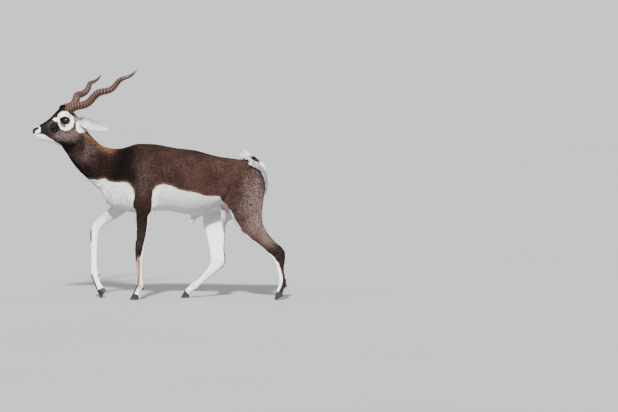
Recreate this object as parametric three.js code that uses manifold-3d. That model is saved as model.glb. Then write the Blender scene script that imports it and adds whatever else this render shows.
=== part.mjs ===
// A life-size adult male blackbuck, walking, with its head raised, horns laid back and tail turned up.
// Units are millimetres. +Z is up, the animal faces -X, and its left side is towards -Y.
// The origin is the middle of the model's footprint, at floor level.
import * as THREE from "three";
import Module from "manifold-3d";

const wasm = await Module();
wasm.setup();

// Driving dimensions
const GAP = 0.3; // clearance between neighbouring pieces
const HEAD_YAW = THREE.MathUtils.degToRad(25.4); // the head turns to its left
const HEAD_ROLL = THREE.MathUtils.degToRad(5.7); // and tips its left side up, about a line at eye level
const HEAD_ROLL_HEIGHT = 900;
const HEAD_PIVOT = new THREE.Vector3(-410, -24, HEAD_ROLL_HEIGHT);
const HORN_BASE = { fore: 61, out: 26, up: 942 };
const HORN_CHORD = { back: 300, out: 205, up: 189 }; // from the middle of a horn's base to its tip
const HORN_BOW = { out: 22, down: 6 }; // how far the horn's middle bows away from the chord
const HORN_COIL = 10.5; // radius of the corkscrew round the bowed chord
const HORN_TURNS = { start: -0.614, steady: 2.124, tightening: 0.804 };
const HORN_DIAMETER = 40;
const EYE = { fore: 77, out: 39, up: 893, radius: 17.5 };
const EAR_ROOT = { fore: 10, out: 38, up: 893 };
const EAR_LENGTH = 164;
const CLAW_HALF_WIDTH = 8.6;
const CLAW_SPLAY = 9.2; // from the middle of the foot to the middle of one claw

// Sections of the trunk, from the breast to the rump: back line, belly line and full width
const TRUNK = [
  { x: -332, top: 610, bottom: 566, wide: 30 },
  { x: -312, top: 664, bottom: 545, wide: 72 },
  { x: -286, top: 706, bottom: 516, wide: 98 },
  { x: -250, top: 737, bottom: 476, wide: 124 },
  { x: -210, top: 747, bottom: 450, wide: 146 },
  { x: -160, top: 762, bottom: 432, wide: 168 },
  { x: -100, top: 780, bottom: 426, wide: 184 },
  { x: -25, top: 775, bottom: 437, wide: 198 },
  { x: 60, top: 756, bottom: 440, wide: 212 },
  { x: 140, top: 748, bottom: 421, wide: 216 },
  { x: 200, top: 740, bottom: 424, wide: 210 },
  { x: 250, top: 728, bottom: 447, wide: 200 },
  { x: 300, top: 713, bottom: 472, wide: 192 },
  { x: 350, top: 704, bottom: 484, wide: 190 },
  { x: 400, top: 697, bottom: 482, wide: 188 },
  { x: 450, top: 682, bottom: 484, wide: 172 },
  { x: 490, top: 660, bottom: 496, wide: 142 },
  { x: 518, top: 638, bottom: 514, wide: 102 },
  { x: 534, top: 608, bottom: 545, wide: 46 },
];

// Sections of the neck, from inside the head to inside the chest
const NECK = [
  { x: -440, z: 836, y: -24, deep: 160, wide: 84 },
  { x: -417, z: 794, y: -20, deep: 154, wide: 90 },
  { x: -385, z: 749, y: -15, deep: 168, wide: 97 },
  { x: -347, z: 705, y: -10, deep: 176, wide: 108 },
  { x: -307, z: 677, y: -4, deep: 195, wide: 124 },
  { x: -255, z: 647, y: 0, deep: 233, wide: 144 },
  { x: -190, z: 623, y: 0, deep: 298, wide: 168 },
];

// Sections of the head, by distance in front of the pivot: forehead line, jaw line and full width
const HEAD = [
  { fore: 243, top: 852, bottom: 833, wide: 20 },
  { fore: 237, top: 863, bottom: 826, wide: 32 },
  { fore: 222, top: 871, bottom: 806, wide: 41 },
  { fore: 204, top: 879, bottom: 798, wide: 45 },
  { fore: 180, top: 890, bottom: 796, wide: 50 },
  { fore: 152, top: 908, bottom: 788, wide: 59 },
  { fore: 126, top: 930, bottom: 777, wide: 73 },
  { fore: 104, top: 950, bottom: 769, wide: 86 },
  { fore: 80, top: 963, bottom: 762, wide: 95 },
  { fore: 52, top: 963, bottom: 754, wide: 96 },
  { fore: 25, top: 944, bottom: 760, wide: 90 },
  { fore: 0, top: 914, bottom: 775, wide: 76 },
  { fore: -22, top: 880, bottom: 800, wide: 50 },
];

// Sections of the legs: fore-and-aft depth, full width and distance out from the middle of the body
const FORELEG = [
  { at: "blade", deep: 118, wide: 44, out: 44 },
  { at: "shoulder", deep: 166, wide: 68, out: 60 },
  { at: "upper arm", deep: 164, wide: 72, out: 66 },
  { at: "elbow", deep: 116, wide: 55, out: 73 },
  { at: "forearm", deep: 85, wide: 43, out: 75 },
  { at: "forearm", deep: 68, wide: 37, out: 73 },
  { at: "forearm", deep: 54, wide: 31, out: 70 },
  { at: "knee", deep: 50, wide: 34, out: 67 },
  { at: "cannon", deep: 41, wide: 28, out: 65 },
  { at: "cannon", deep: 33, wide: 22, out: 63 },
  { at: "cannon", deep: 32, wide: 23, out: 61 },
  { at: "fetlock", deep: 41, wide: 31, out: 60 },
  { at: "pastern", deep: 33, wide: 27, out: 59 },
  { at: "coronet", deep: 36, wide: 34, out: 58 },
];
const HIND_LEG = [
  { at: "croup", deep: 196, wide: 56, out: 46 },
  { at: "thigh", deep: 226, wide: 80, out: 60 },
  { at: "thigh", deep: 212, wide: 80, out: 65 },
  { at: "stifle", deep: 172, wide: 68, out: 70 },
  { at: "gaskin", deep: 130, wide: 53, out: 72 },
  { at: "gaskin", deep: 101, wide: 44, out: 71 },
  { at: "gaskin", deep: 83, wide: 35, out: 68 },
  { at: "gaskin", deep: 76, wide: 28, out: 65 },
  { at: "hock", deep: 79, wide: 31, out: 63 },
  { at: "hock", deep: 51, wide: 28, out: 62 },
  { at: "cannon", deep: 37, wide: 23, out: 61 },
  { at: "cannon", deep: 32, wide: 22, out: 60 },
  { at: "fetlock", deep: 41, wide: 31, out: 59 },
  { at: "pastern", deep: 33, wide: 27, out: 58 },
  { at: "coronet", deep: 36, wide: 34, out: 58 },
];

// The walking pose: x and z of each section's middle, then where the toe and the heel of the foot are
const POSES = {
  foreleg_left: {
    side: -1,
    sections: FORELEG,
    path: [
      [-95, 711], [-97, 641], [-95, 561], [-76, 480], [-81, 425], [-86, 364], [-93, 302],
      [-99, 252], [-101, 210], [-102, 155], [-101, 104], [-99, 72], [-108, 50], [-118, 30],
    ],
    toe: [-152, -1],
    heel: [-106, -1],
  },
  foreleg_right: {
    side: 1,
    sections: FORELEG,
    path: [
      [-110, 692], [-132, 624], [-148, 556], [-169, 493], [-207, 449], [-252, 415], [-296, 382],
      [-325, 343], [-331, 297], [-331, 231], [-331, 162], [-329, 118], [-318, 82], [-303, 46],
    ],
    toe: [-296, -4],
    heel: [-272, 42],
  },
  hind_leg_left: {
    side: -1,
    sections: HIND_LEG,
    path: [
      [405, 641], [415, 571], [425, 503], [437, 436], [458, 374], [487, 332], [520, 297],
      [556, 262], [592, 228], [601, 188], [604, 151], [611, 112], [614, 84], [607, 60], [598, 37],
    ],
    toe: [570, -3],
    heel: [616, 16],
  },
  hind_leg_right: {
    side: 1,
    sections: HIND_LEG,
    path: [
      [390, 633], [373, 562], [335, 496], [294, 442], [273, 384], [279, 326], [283, 268],
      [287, 224], [292, 184], [264, 145], [228, 108], [197, 79], [172, 61], [153, 45], [135, 29],
    ],
    toe: [100, -1],
    heel: [147, -1],
  },
};

// Sections of the tail, from its root to the tuft, turned up along the croup
const TAIL = [
  { x: 516, z: 622, deep: 20, wide: 22 },
  { x: 517, z: 644, deep: 23, wide: 23 },
  { x: 506, z: 665, deep: 24, wide: 24 },
  { x: 482, z: 688, deep: 25, wide: 25 },
  { x: 452, z: 707, deep: 26, wide: 28 },
  { x: 426, z: 718, deep: 29, wide: 33 },
  { x: 406, z: 719, deep: 22, wide: 28 },
  { x: 395, z: 716, deep: 8, wide: 12 },
];

// Sections of the sheath under the belly, from the groin to the tuft
const SHEATH = [
  { x: 318, z: 458, deep: 26, wide: 26 },
  { x: 270, z: 440, deep: 24, wide: 26 },
  { x: 215, z: 424, deep: 24, wide: 26 },
  { x: 175, z: 413, deep: 28, wide: 24 },
  { x: 158, z: 399, deep: 30, wide: 20 },
  { x: 152, z: 380, deep: 22, wide: 13 },
];

// A closed solid from vertices and triangles, turned so that its faces point outwards
function solid(points, triangles) {
  const build = (tris) =>
    new wasm.Manifold(
      new wasm.Mesh({
        numProp: 3,
        vertProperties: new Float32Array(points.flatMap((p) => [p.x, p.y, p.z])),
        triVerts: new Uint32Array(tris.flat()),
      }),
    );
  const made = build(triangles);
  return made.volume() > 0 ? made : build(triangles.map(([a, b, c]) => [a, c, b]));
}

// Joins rings that hold the same number of points into one closed skin, with a fan over each end
function skinRings(rings) {
  const size = rings[0].length;
  const middle = (ring) =>
    ring.reduce((sum, p) => sum.add(p), new THREE.Vector3()).divideScalar(size);
  const points = [...rings.flat(), middle(rings[0]), middle(rings[rings.length - 1])];
  const first = points.length - 2;
  const last = points.length - 1;
  const triangles = [];
  for (let side = 0; side < size; side += 1) {
    const next = (side + 1) % size;
    for (let r = 0; r < rings.length - 1; r += 1) {
      const here = r * size;
      const there = here + size;
      triangles.push([here + side, here + next, there + next]);
      triangles.push([here + side, there + next, there + side]);
    }
    const end = (rings.length - 1) * size;
    triangles.push([first, next, side]);
    triangles.push([last, end + side, end + next]);
  }
  return solid(points, triangles);
}

// A smooth value between the rows of a table, at a place given in rows
function between(rows, key, place) {
  const row = Math.min(Math.floor(place), rows.length - 2);
  const value = (i) => rows[Math.max(0, Math.min(rows.length - 1, i))][key] ?? 0;
  const [a, b, c, d] = [row - 1, row, row + 1, row + 2].map(value);
  const t = place - row;
  const before = (c - a) / 2;
  const after = (d - b) / 2;
  const t2 = t * t;
  const t3 = t2 * t;
  return (
    (2 * t3 - 3 * t2 + 1) * b + (t3 - 2 * t2 + t) * before + (3 * t2 - 2 * t3) * c + (t3 - t2) * after
  );
}

// A rounded body whose sections stand square to its own centre line, which bends in the XZ plane.
// Between two rows it has a number of steps, apart from the first few rows, which can have one each.
function limb(rows, { steps, coarse = 0, sides, square = 2.2, keel = 0, grow = 0 }) {
  const fine = (rows.length - 1 - coarse) * steps;
  const places = [
    ...Array.from({ length: coarse }, (_, i) => i),
    ...Array.from({ length: fine + 1 }, (_, i) => coarse + i / steps),
  ];
  const count = places.length - 1;
  const middles = places.map((p) => ({
    x: between(rows, "x", p),
    y: between(rows, "y", p),
    z: between(rows, "z", p),
  }));
  const rings = places.map((place, i) => {
    const from = middles[Math.max(0, i - 1)];
    const to = middles[Math.min(count, i + 1)];
    const length = Math.hypot(to.x - from.x, to.z - from.z);
    const along = { x: (to.x - from.x) / length, z: (to.z - from.z) / length };
    const front = { x: along.z, z: -along.x };
    const deep = between(rows, "deep", place) / 2 + grow;
    const wide = between(rows, "wide", place) / 2 + grow;
    const end = i === 0 ? -grow : i === count ? grow : 0;
    return Array.from({ length: sides }, (_, s) => {
      const { forth, out } = roundedSection((2 * Math.PI * s) / sides, square);
      return new THREE.Vector3(
        middles[i].x + front.x * deep * forth + along.x * end,
        middles[i].y + wide * out * (1 + keel * forth),
        middles[i].z + front.z * deep * forth + along.z * end,
      );
    });
  });
  return { solid: skinRings(rings), rings };
}

// A point of a unit section that is between a circle and a rounded square
function roundedSection(angle, square) {
  const power = 2 / square;
  const bend = (v) => Math.sign(v) * Math.abs(v) ** power;
  return { forth: bend(Math.cos(angle)), out: bend(Math.sin(angle)) };
}

// The trunk is a limb along X whose sections are given by their top and bottom
function upright(rows) {
  return rows.map((row) => ({
    ...row,
    z: (row.top + row.bottom) / 2,
    deep: row.top - row.bottom,
  }));
}

// A closed ellipsoid along X, Y and Z. A last step can place each of its points.
function ellipsoid(centre, radii, detail, place = (p) => p) {
  const [around, down] = detail;
  const rings = Array.from({ length: down - 1 }, (_, i) => {
    const tilt = (Math.PI * (i + 1)) / down;
    return Array.from({ length: around }, (_, s) => {
      const turn = (2 * Math.PI * s) / around;
      return place(
        new THREE.Vector3(
          centre.x + radii.x * Math.sin(tilt) * Math.cos(turn),
          centre.y + radii.y * Math.sin(tilt) * Math.sin(turn),
          centre.z + radii.z * Math.cos(tilt),
        ),
      );
    });
  });
  return skinRings(rings);
}

// Half of space, as a very large box that starts at a point and fills the side its normal points to
function halfSpace(point, normal) {
  const size = 4000;
  const box = new THREE.BoxGeometry(size, size, size).translate(0, 0, size / 2);
  const turn = new THREE.Quaternion().setFromUnitVectors(
    new THREE.Vector3(0, 0, 1),
    normal.clone().normalize(),
  );
  box.applyQuaternion(turn).translate(point.x, point.y, point.z);
  const corners = [];
  const number = new Map();
  const spot = box.getAttribute("position");
  const merged = Array.from({ length: spot.count }, (_, i) => {
    const p = new THREE.Vector3().fromBufferAttribute(spot, i);
    const key = p.toArray().map((v) => Math.round(v * 10)).join();
    if (!number.has(key)) {
      number.set(key, corners.length);
      corners.push(p);
    }
    return number.get(key);
  });
  const faces = box.getIndex().array;
  const triangles = [];
  for (let i = 0; i < faces.length; i += 3) {
    triangles.push([merged[faces[i]], merged[faces[i + 1]], merged[faces[i + 2]]]);
  }
  return solid(corners, triangles);
}

// A point of the head: in front of the pivot, out from the head's middle to its left, and up
function headPoint(fore, left, up) {
  return new THREE.Vector3(-fore, -left, up - HEAD_ROLL_HEIGHT)
    .applyAxisAngle(new THREE.Vector3(-1, 0, 0), HEAD_ROLL)
    .applyAxisAngle(new THREE.Vector3(0, 0, 1), HEAD_YAW)
    .add(HEAD_PIVOT);
}

function headLoft() {
  const steps = 2;
  const sides = 18;
  const count = (HEAD.length - 1) * steps;
  const rings = Array.from({ length: count + 1 }, (_, i) => {
    const place = i / steps;
    const [fore, top, bottom, wide] = ["fore", "top", "bottom", "wide"].map((key) =>
      between(HEAD, key, place),
    );
    const nose = THREE.MathUtils.smoothstep(fore, 90, 200);
    return Array.from({ length: sides }, (_, s) => {
      const { forth, out } = roundedSection((2 * Math.PI * s) / sides, 2.3);
      // The cheeks are widest below the middle, and the jaw and the bridge of the nose are narrow
      const narrow = 1 - 0.2 * Math.abs(forth) ** 2 - (0.16 - 0.1 * nose) * forth;
      return headPoint(
        fore,
        (out * narrow * wide) / 2,
        (top + bottom) / 2 + (forth * (top - bottom)) / 2,
      );
    });
  });
  return skinRings(rings);
}

// An ellipsoid set in the head, with its radii along the head's own directions
function headEllipsoid([fore, left, up], [r, s, t], detail) {
  const unit = new THREE.Vector3();
  return ellipsoid(unit, new THREE.Vector3(1, 1, 1), detail, (p) =>
    headPoint(fore - r * p.x, left - s * p.y, up + t * p.z),
  );
}

function eyeball(side, grow) {
  const radius = EYE.radius + grow;
  return headEllipsoid([EYE.fore, side * EYE.out, EYE.up], [radius, radius, radius], [10, 7]);
}

// The rim of bone and lid round an eye
function brow(side) {
  return headEllipsoid([EYE.fore - 1, side * (EYE.out - 6), EYE.up + 3], [29, 19, 27], [12, 6]);
}

// A corkscrew horn. The left one turns like a right-handed screw and the right one mirrors it.
function horn(side, grow) {
  const base = new THREE.Vector3(HORN_BASE.fore, HORN_BASE.out, HORN_BASE.up);
  const chord = new THREE.Vector3(-HORN_CHORD.back, HORN_CHORD.out, HORN_CHORD.up);
  const axis = chord.clone().normalize();
  const below = new THREE.Vector3(-1, 0, -1.6).projectOnPlane(axis).normalize();
  const inward = axis.clone().cross(below);
  const sides = 8;
  const steps = 30;
  const middles = Array.from({ length: steps + 1 }, (_, i) => {
    const t = i / steps;
    const turns = HORN_TURNS.start + HORN_TURNS.steady * t + HORN_TURNS.tightening * t * t;
    const reach = HORN_COIL * THREE.MathUtils.smoothstep(t, 0, 0.2) * (1 - t) ** 0.31;
    const bow = 4 * t * (1 - t);
    return base
      .clone()
      .addScaledVector(chord, t)
      .addScaledVector(below, reach * Math.cos(2 * Math.PI * turns) + bow * HORN_BOW.down)
      .addScaledVector(inward, reach * Math.sin(2 * Math.PI * turns) - bow * HORN_BOW.out);
  });
  const root = new THREE.Vector3(6, 1, -20);
  middles.unshift(base.clone().add(root));
  const rings = middles.map((middle, i) => {
    const from = middles[Math.max(0, i - 1)];
    const to = middles[Math.min(middles.length - 1, i + 1)];
    const along = to.clone().sub(from).normalize();
    const across = below.clone().projectOnPlane(along).normalize();
    const third = across.clone().cross(along);
    const t = Math.max(0, i - 1) / steps;
    const flare = 1 + 0.1 * Math.exp(-t / 0.04);
    const radius = Math.max(1.2, (HORN_DIAMETER / 2) * (1 - t ** 2.2) ** 0.65 * flare) + grow;
    return Array.from({ length: sides }, (_, s) => {
      const turn = (2 * Math.PI * s) / sides;
      const p = middle
        .clone()
        .addScaledVector(across, radius * Math.cos(turn))
        .addScaledVector(third, radius * Math.sin(turn));
      return headPoint(p.x, side * p.y, p.z);
    });
  });
  return skinRings(rings);
}

// A leaf-shaped, cupped ear whose hollow faces outwards. Its root is a solid stem inside the head.
function ear(side, grow) {
  const root = new THREE.Vector3(EAR_ROOT.fore, EAR_ROOT.out, EAR_ROOT.up);
  const along = new THREE.Vector3(-0.7, 0.64, -0.32).normalize();
  const open = new THREE.Vector3(0.62, 0.74, -0.12).projectOnPlane(along).normalize();
  const edge = along.clone().cross(open);
  const steps = 10;
  const half = 5;
  const rings = Array.from({ length: steps + 1 }, (_, i) => {
    const t = i / steps;
    const wide = 4 + 24 * Math.sin(Math.PI * (0.22 + 0.78 * t) ** 0.84) ** 0.62;
    const cup = 19 * (1 - t) ** 0.6 * (1 - 0.25 * t);
    const hollow = THREE.MathUtils.smoothstep(t, 0.02, 0.3);
    const thick = 5.5 - 3 * t;
    const middle = root.clone().addScaledVector(along, EAR_LENGTH * t);
    const arc = (share, deep, lift, swell) =>
      middle
        .clone()
        .addScaledVector(edge, share * (wide + swell))
        .addScaledVector(open, -deep * (1 - share * share) + lift);
    const outer = Array.from({ length: half + 1 }, (_, s) =>
      arc((2 * s) / half - 1, cup, -grow, grow),
    );
    const narrow = 1 - thick / (2 * wide + thick);
    const inner = Array.from({ length: half + 1 }, (_, s) =>
      arc((1 - (2 * s) / half) * narrow, cup * hollow, thick + grow, 0),
    );
    return [...outer, ...inner].map((p) => headPoint(p.x, side * p.y, p.z));
  });
  return skinRings(rings);
}

function leg(pose, grow) {
  const rows = pose.sections.map((section, i) => ({
    ...section,
    x: pose.path[i][0],
    z: pose.path[i][1],
    y: pose.side * section.out,
  }));
  return limb(rows, { steps: 2, coarse: 3, sides: 10, square: 2.1, keel: 0.1, grow });
}

// One claw of a cloven hoof, from the last ring of the leg down to its sole
function claw(pose, legRings, half) {
  const foot = pose.side * pose.sections[pose.sections.length - 1].out;
  const coronet = legRings[legRings.length - 1];
  const above = legRings[legRings.length - 2];
  const centreOf = (ring) =>
    ring.reduce((sum, p) => sum.add(p), new THREE.Vector3()).divideScalar(ring.length);
  const centre = centreOf(coronet);
  const down = centre.clone().sub(centreOf(above)).setY(0).normalize();
  const front = new THREE.Vector3(down.z, 0, -down.x);
  const sides = 9;
  const steps = 3;
  const topReach = 16.5;
  const rings = Array.from({ length: steps + 1 }, (_, i) => {
    const t = i / steps;
    return Array.from({ length: sides }, (_, s) => {
      const turn = (2 * Math.PI * s) / sides;
      const forth = Math.cos(turn);
      const out = Math.sin(turn);
      const top = centre
        .clone()
        .addScaledVector(down, GAP)
        .addScaledVector(front, topReach * forth);
      top.y = foot + half * (CLAW_SPLAY - 1) + (CLAW_HALF_WIDTH - 0.7) * out;
      const back = (1 - forth) / 2;
      const lift = THREE.MathUtils.lerp(pose.toe[1], pose.heel[1], back);
      const sole = new THREE.Vector3(
        THREE.MathUtils.lerp(pose.toe[0], pose.heel[0], back),
        foot + half * CLAW_SPLAY + CLAW_HALF_WIDTH * out * (1 - 0.34 * forth),
        lift,
      );
      return top.lerp(sole, t);
    });
  });
  return skinRings(rings).intersect(halfSpace(new THREE.Vector3(), new THREE.Vector3(0, 0, 1)));
}

// A small horny stud behind the fetlock
function dewclaw(pose, half, grow) {
  const index = pose.sections.findIndex((section) => section.at === "fetlock");
  const [x, z] = pose.path[index];
  const [nextX, nextZ] = pose.path[index + 1];
  const down = new THREE.Vector3(nextX - x, 0, nextZ - z).normalize();
  const back = new THREE.Vector3(-down.z, 0, down.x);
  const y = pose.side * pose.sections[index].out + half * 8;
  const centre = new THREE.Vector3(x, y, z).addScaledVector(back, 19).addScaledVector(down, 9);
  return ellipsoid(centre, new THREE.Vector3(5.5 + grow, 4.8 + grow, 7.5 + grow), [8, 4]);
}

// The largest of a solid's separate bodies: a cut can leave crumbs
function largest(shape) {
  return shape.decompose().reduce((a, b) => (b.volume() > a.volume() ? b : a));
}

function meshOf(name, shape, material) {
  const { vertProperties, triVerts } = shape.getMesh();
  const geometry = new THREE.BufferGeometry();
  geometry.setAttribute("position", new THREE.BufferAttribute(new Float32Array(vertProperties), 3));
  geometry.setIndex(new THREE.BufferAttribute(new Uint32Array(triVerts), 1));
  geometry.computeVertexNormals();
  const mesh = new THREE.Mesh(geometry, material);
  mesh.name = name;
  return mesh;
}

const finish = (color, roughness) =>
  new THREE.MeshStandardMaterial({ color, roughness, metalness: 0 });
const brownCoat = finish(0x3c2720, 0.8);
const whiteCoat = finish(0xe6e2dc, 0.85);
const hornSheath = finish(0x6b4a38, 0.55);
const hoofHorn = finish(0x17130f, 0.4);
const eyeGloss = finish(0x0c0705, 0.08);

const SIDES = { left: 1, right: -1 };
const trunkRows = upright(TRUNK);
const trunkLoft = limb(trunkRows, { steps: 1, sides: 24, square: 2.25, keel: 0.1 }).solid;
const neckLoft = limb(NECK, { steps: 2, sides: 18, square: 2.1, keel: -0.02 }).solid;
const sheath = limb(SHEATH, { steps: 1, sides: 8, square: 2 }).solid;
const scrotum = ellipsoid(new THREE.Vector3(322, 0, 414), new THREE.Vector3(22, 24, 40), [10, 6]);
const forelock = headEllipsoid([77, 0, 961], [20, 17, 15], [8, 5]);

const legNames = Object.keys(POSES);
const legs = new Map(legNames.map((name) => [name, leg(POSES[name], 0)]));
const tail = limb(TAIL, { steps: 1, sides: 10, square: 2 }).solid;

let axial = [trunkLoft, neckLoft, headLoft(), forelock, brow(1), brow(-1), sheath, scrotum].reduce(
  (sum, piece) => sum.add(piece),
);
const inserts = [
  ...legNames.map((name) => leg(POSES[name], GAP).solid),
  limb(TAIL, { steps: 1, sides: 10, square: 2, grow: GAP }).solid,
  ...Object.values(SIDES).flatMap((side) => [eyeball(side, GAP), horn(side, GAP), ear(side, GAP)]),
];
axial = inserts.reduce((rest, piece) => rest.subtract(piece), axial);

// The head ends at a plane from throat to ears, and the neck at one from breast to withers
const headCut = { point: new THREE.Vector3(-440, 0, 800), normal: new THREE.Vector3(-0.9, 0, 0.42) };
const neckCut = { point: new THREE.Vector3(-275, 0, 640), normal: new THREE.Vector3(-0.78, 0, 0.63) };
const infront = ({ point, normal }, gap) =>
  halfSpace(point.clone().addScaledVector(normal.clone().normalize(), gap), normal);
const behind = ({ point, normal }, gap) =>
  halfSpace(
    point.clone().addScaledVector(normal.clone().normalize(), -gap),
    normal.clone().negate(),
  );
const head = largest(axial.intersect(infront(headCut, GAP / 2)));
const neck = largest(axial.intersect(behind(headCut, GAP / 2)).intersect(infront(neckCut, GAP / 2)));
const trunk = largest(axial.intersect(behind(neckCut, GAP / 2)));

const blackbuck = new THREE.Group();
blackbuck.add(
  meshOf("head", head, brownCoat),
  meshOf("neck", neck, brownCoat),
  meshOf("trunk", trunk, brownCoat),
  meshOf("tail", tail, whiteCoat),
);
for (const [word, side] of Object.entries(SIDES)) {
  blackbuck.add(
    meshOf(`eye_${word}`, eyeball(side, 0), eyeGloss),
    meshOf(`horn_${word}`, horn(side, 0), hornSheath),
    meshOf(`ear_${word}`, ear(side, 0), whiteCoat),
  );
}
for (const name of legNames) {
  const pose = POSES[name];
  const { solid: whole, rings } = legs.get(name);
  let limbSolid = whole;
  for (const [place, half] of [["inner", -1], ["outer", 1]]) {
    const out = half * pose.side;
    limbSolid = limbSolid.subtract(dewclaw(pose, out, GAP));
    blackbuck.add(
      meshOf(`claw_${name}_${place}`, claw(pose, rings, out), hoofHorn),
      meshOf(`dewclaw_${name}_${place}`, dewclaw(pose, out, 0), hoofHorn),
    );
  }
  blackbuck.add(meshOf(name, largest(limbSolid), brownCoat));
}

// The frame's origin is the middle of the footprint
const bounds = new THREE.Box3().setFromObject(blackbuck);
const middle = bounds.getCenter(new THREE.Vector3());
blackbuck.position.set(-middle.x, -middle.y, -bounds.min.z);

export default blackbuck;
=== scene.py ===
# %% [markdown]
# # A life-size blackbuck
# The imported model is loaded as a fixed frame. It gives the place and size of each part of the animal, and
# everything made here is fitted round it: one skin over all the flesh, a short coat of hair tufts over
# the skin, ringed horns, eyes and cloven hooves. Points are worked out in millimetres and turned into
# metres when a mesh is written. What a Blender operator, modifier or material takes is in metres from the
# start.

import math

import bmesh
import bpy
import numpy as np
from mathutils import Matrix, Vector


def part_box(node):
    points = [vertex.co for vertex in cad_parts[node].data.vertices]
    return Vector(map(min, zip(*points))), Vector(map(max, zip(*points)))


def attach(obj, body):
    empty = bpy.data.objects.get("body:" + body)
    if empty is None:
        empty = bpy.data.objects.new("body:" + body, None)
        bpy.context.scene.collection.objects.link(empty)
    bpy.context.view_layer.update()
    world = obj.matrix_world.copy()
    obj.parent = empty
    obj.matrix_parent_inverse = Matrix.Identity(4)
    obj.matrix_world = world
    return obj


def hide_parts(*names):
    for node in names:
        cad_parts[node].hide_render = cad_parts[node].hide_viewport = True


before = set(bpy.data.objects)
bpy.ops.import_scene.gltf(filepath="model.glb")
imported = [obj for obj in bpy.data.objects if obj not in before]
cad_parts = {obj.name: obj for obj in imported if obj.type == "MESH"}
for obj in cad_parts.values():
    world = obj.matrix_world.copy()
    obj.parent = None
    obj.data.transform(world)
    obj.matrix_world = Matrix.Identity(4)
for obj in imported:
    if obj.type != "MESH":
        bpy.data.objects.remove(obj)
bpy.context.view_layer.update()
rng = np.random.default_rng(7)

# %% [markdown]
# The animal's own measure is used for everything: x runs from the breast to the rump, y from its left to
# its right and z up from the floor, with the origin between the forefeet. The head has axes of its own,
# because it is turned to the left and tipped a little. The left eye of the frame ties this measure to the
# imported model.

# %% The body's axes and the head's
HEAD_TURN = math.radians(25.4)
HEAD_TIP = math.radians(5.7)
HEAD_PIVOT = np.array([-410.0, -24.0, 900.0])
EYE_PLACE = (77.0, 39.0, 893.0)
EYE_RADIUS = 17.5


def unit(vector):
    """A direction, made one long."""
    vector = np.asarray(vector, float)
    return vector / np.linalg.norm(vector)


def units(vectors):
    """Many directions, one in each row, all made one long."""
    return vectors / np.linalg.norm(vectors, axis=1)[:, None]


turn = np.array(
    [
        [math.cos(HEAD_TURN), -math.sin(HEAD_TURN), 0],
        [math.sin(HEAD_TURN), math.cos(HEAD_TURN), 0],
        [0, 0, 1],
    ]
)
tip = np.array(
    [
        [1, 0, 0],
        [0, math.cos(HEAD_TIP), math.sin(HEAD_TIP)],
        [0, -math.sin(HEAD_TIP), math.cos(HEAD_TIP)],
    ]
)
FORE, LEFT, UP = (turn @ tip @ np.array(axis, float) for axis in ((-1, 0, 0), (0, -1, 0), (0, 0, 1)))


def head_point(fore, left, up):
    """A point of the head: in front of its pivot, to the left of its middle, and up."""
    fore, left, up = (np.asarray(v, float)[..., None] for v in (fore, left, up))
    return HEAD_PIVOT + fore * FORE + left * LEFT + (up - HEAD_PIVOT[2]) * UP


def head_direction(fore, left, up):
    """A direction along the head's own axes, in the body's."""
    return fore * FORE + left * LEFT + up * UP


def head_place(points):
    """How far points lie in front of the head's pivot, to the left of its middle, and up."""
    away = points - HEAD_PIVOT
    return away @ FORE, away @ LEFT, away @ UP + HEAD_PIVOT[2]


eye_low, eye_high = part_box("eye_left")
SHIFT = np.array((eye_low + eye_high) / 2) * 1000 - head_point(*EYE_PLACE)
print("the body's origin lies at", SHIFT.round(2), "mm in the frame")

# %% [markdown]
# The camera stands thirty metres off at the animal's left, with a long lens, and looks down by four
# degrees. It is made first, because the markings of the coat are laid out in the pixels of the picture it
# takes.

# %% Camera
PIXEL = 4.993
PICTURE_MIDDLE = np.array([309.0, 206.0])
AIM = np.array([745.0, 0.0, 465.0])
CAMERA_DISTANCE = 30.0
LOOK_DOWN = math.radians(4)
LENS = 350
SENSOR = 36

camera = bpy.data.objects.new("camera", bpy.data.cameras.new("camera"))
camera.data.lens = LENS
camera.data.sensor_width = SENSOR
camera.data.clip_end = 400
aim = Vector((AIM + SHIFT) / 1000)
camera.location = aim + CAMERA_DISTANCE * Vector((0, -math.cos(LOOK_DOWN), math.sin(LOOK_DOWN)))
camera.rotation_euler = (math.radians(90) - LOOK_DOWN, 0, 0)
bpy.context.scene.collection.objects.link(camera)
bpy.context.scene.camera = camera
print("one pixel of the picture shows", PIXEL, "mm of the animal")


def picture_place(points):
    """Where points of the body show in the picture, in pixels from its top left corner."""
    right = points[:, 0] - AIM[0]
    rise = (points[:, 2] - AIM[2]) * math.cos(LOOK_DOWN) + points[:, 1] * math.sin(LOOK_DOWN)
    return PICTURE_MIDDLE[0] + right / PIXEL, PICTURE_MIDDLE[1] - rise / PIXEL


# %% [markdown]
# The legs carry markings and tendons that follow the bones, so each leg's centre line is needed: the
# middle of each section from the shoulder or croup down to the hoof, with the section's depth, width and
# distance from the middle of the body.

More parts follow.
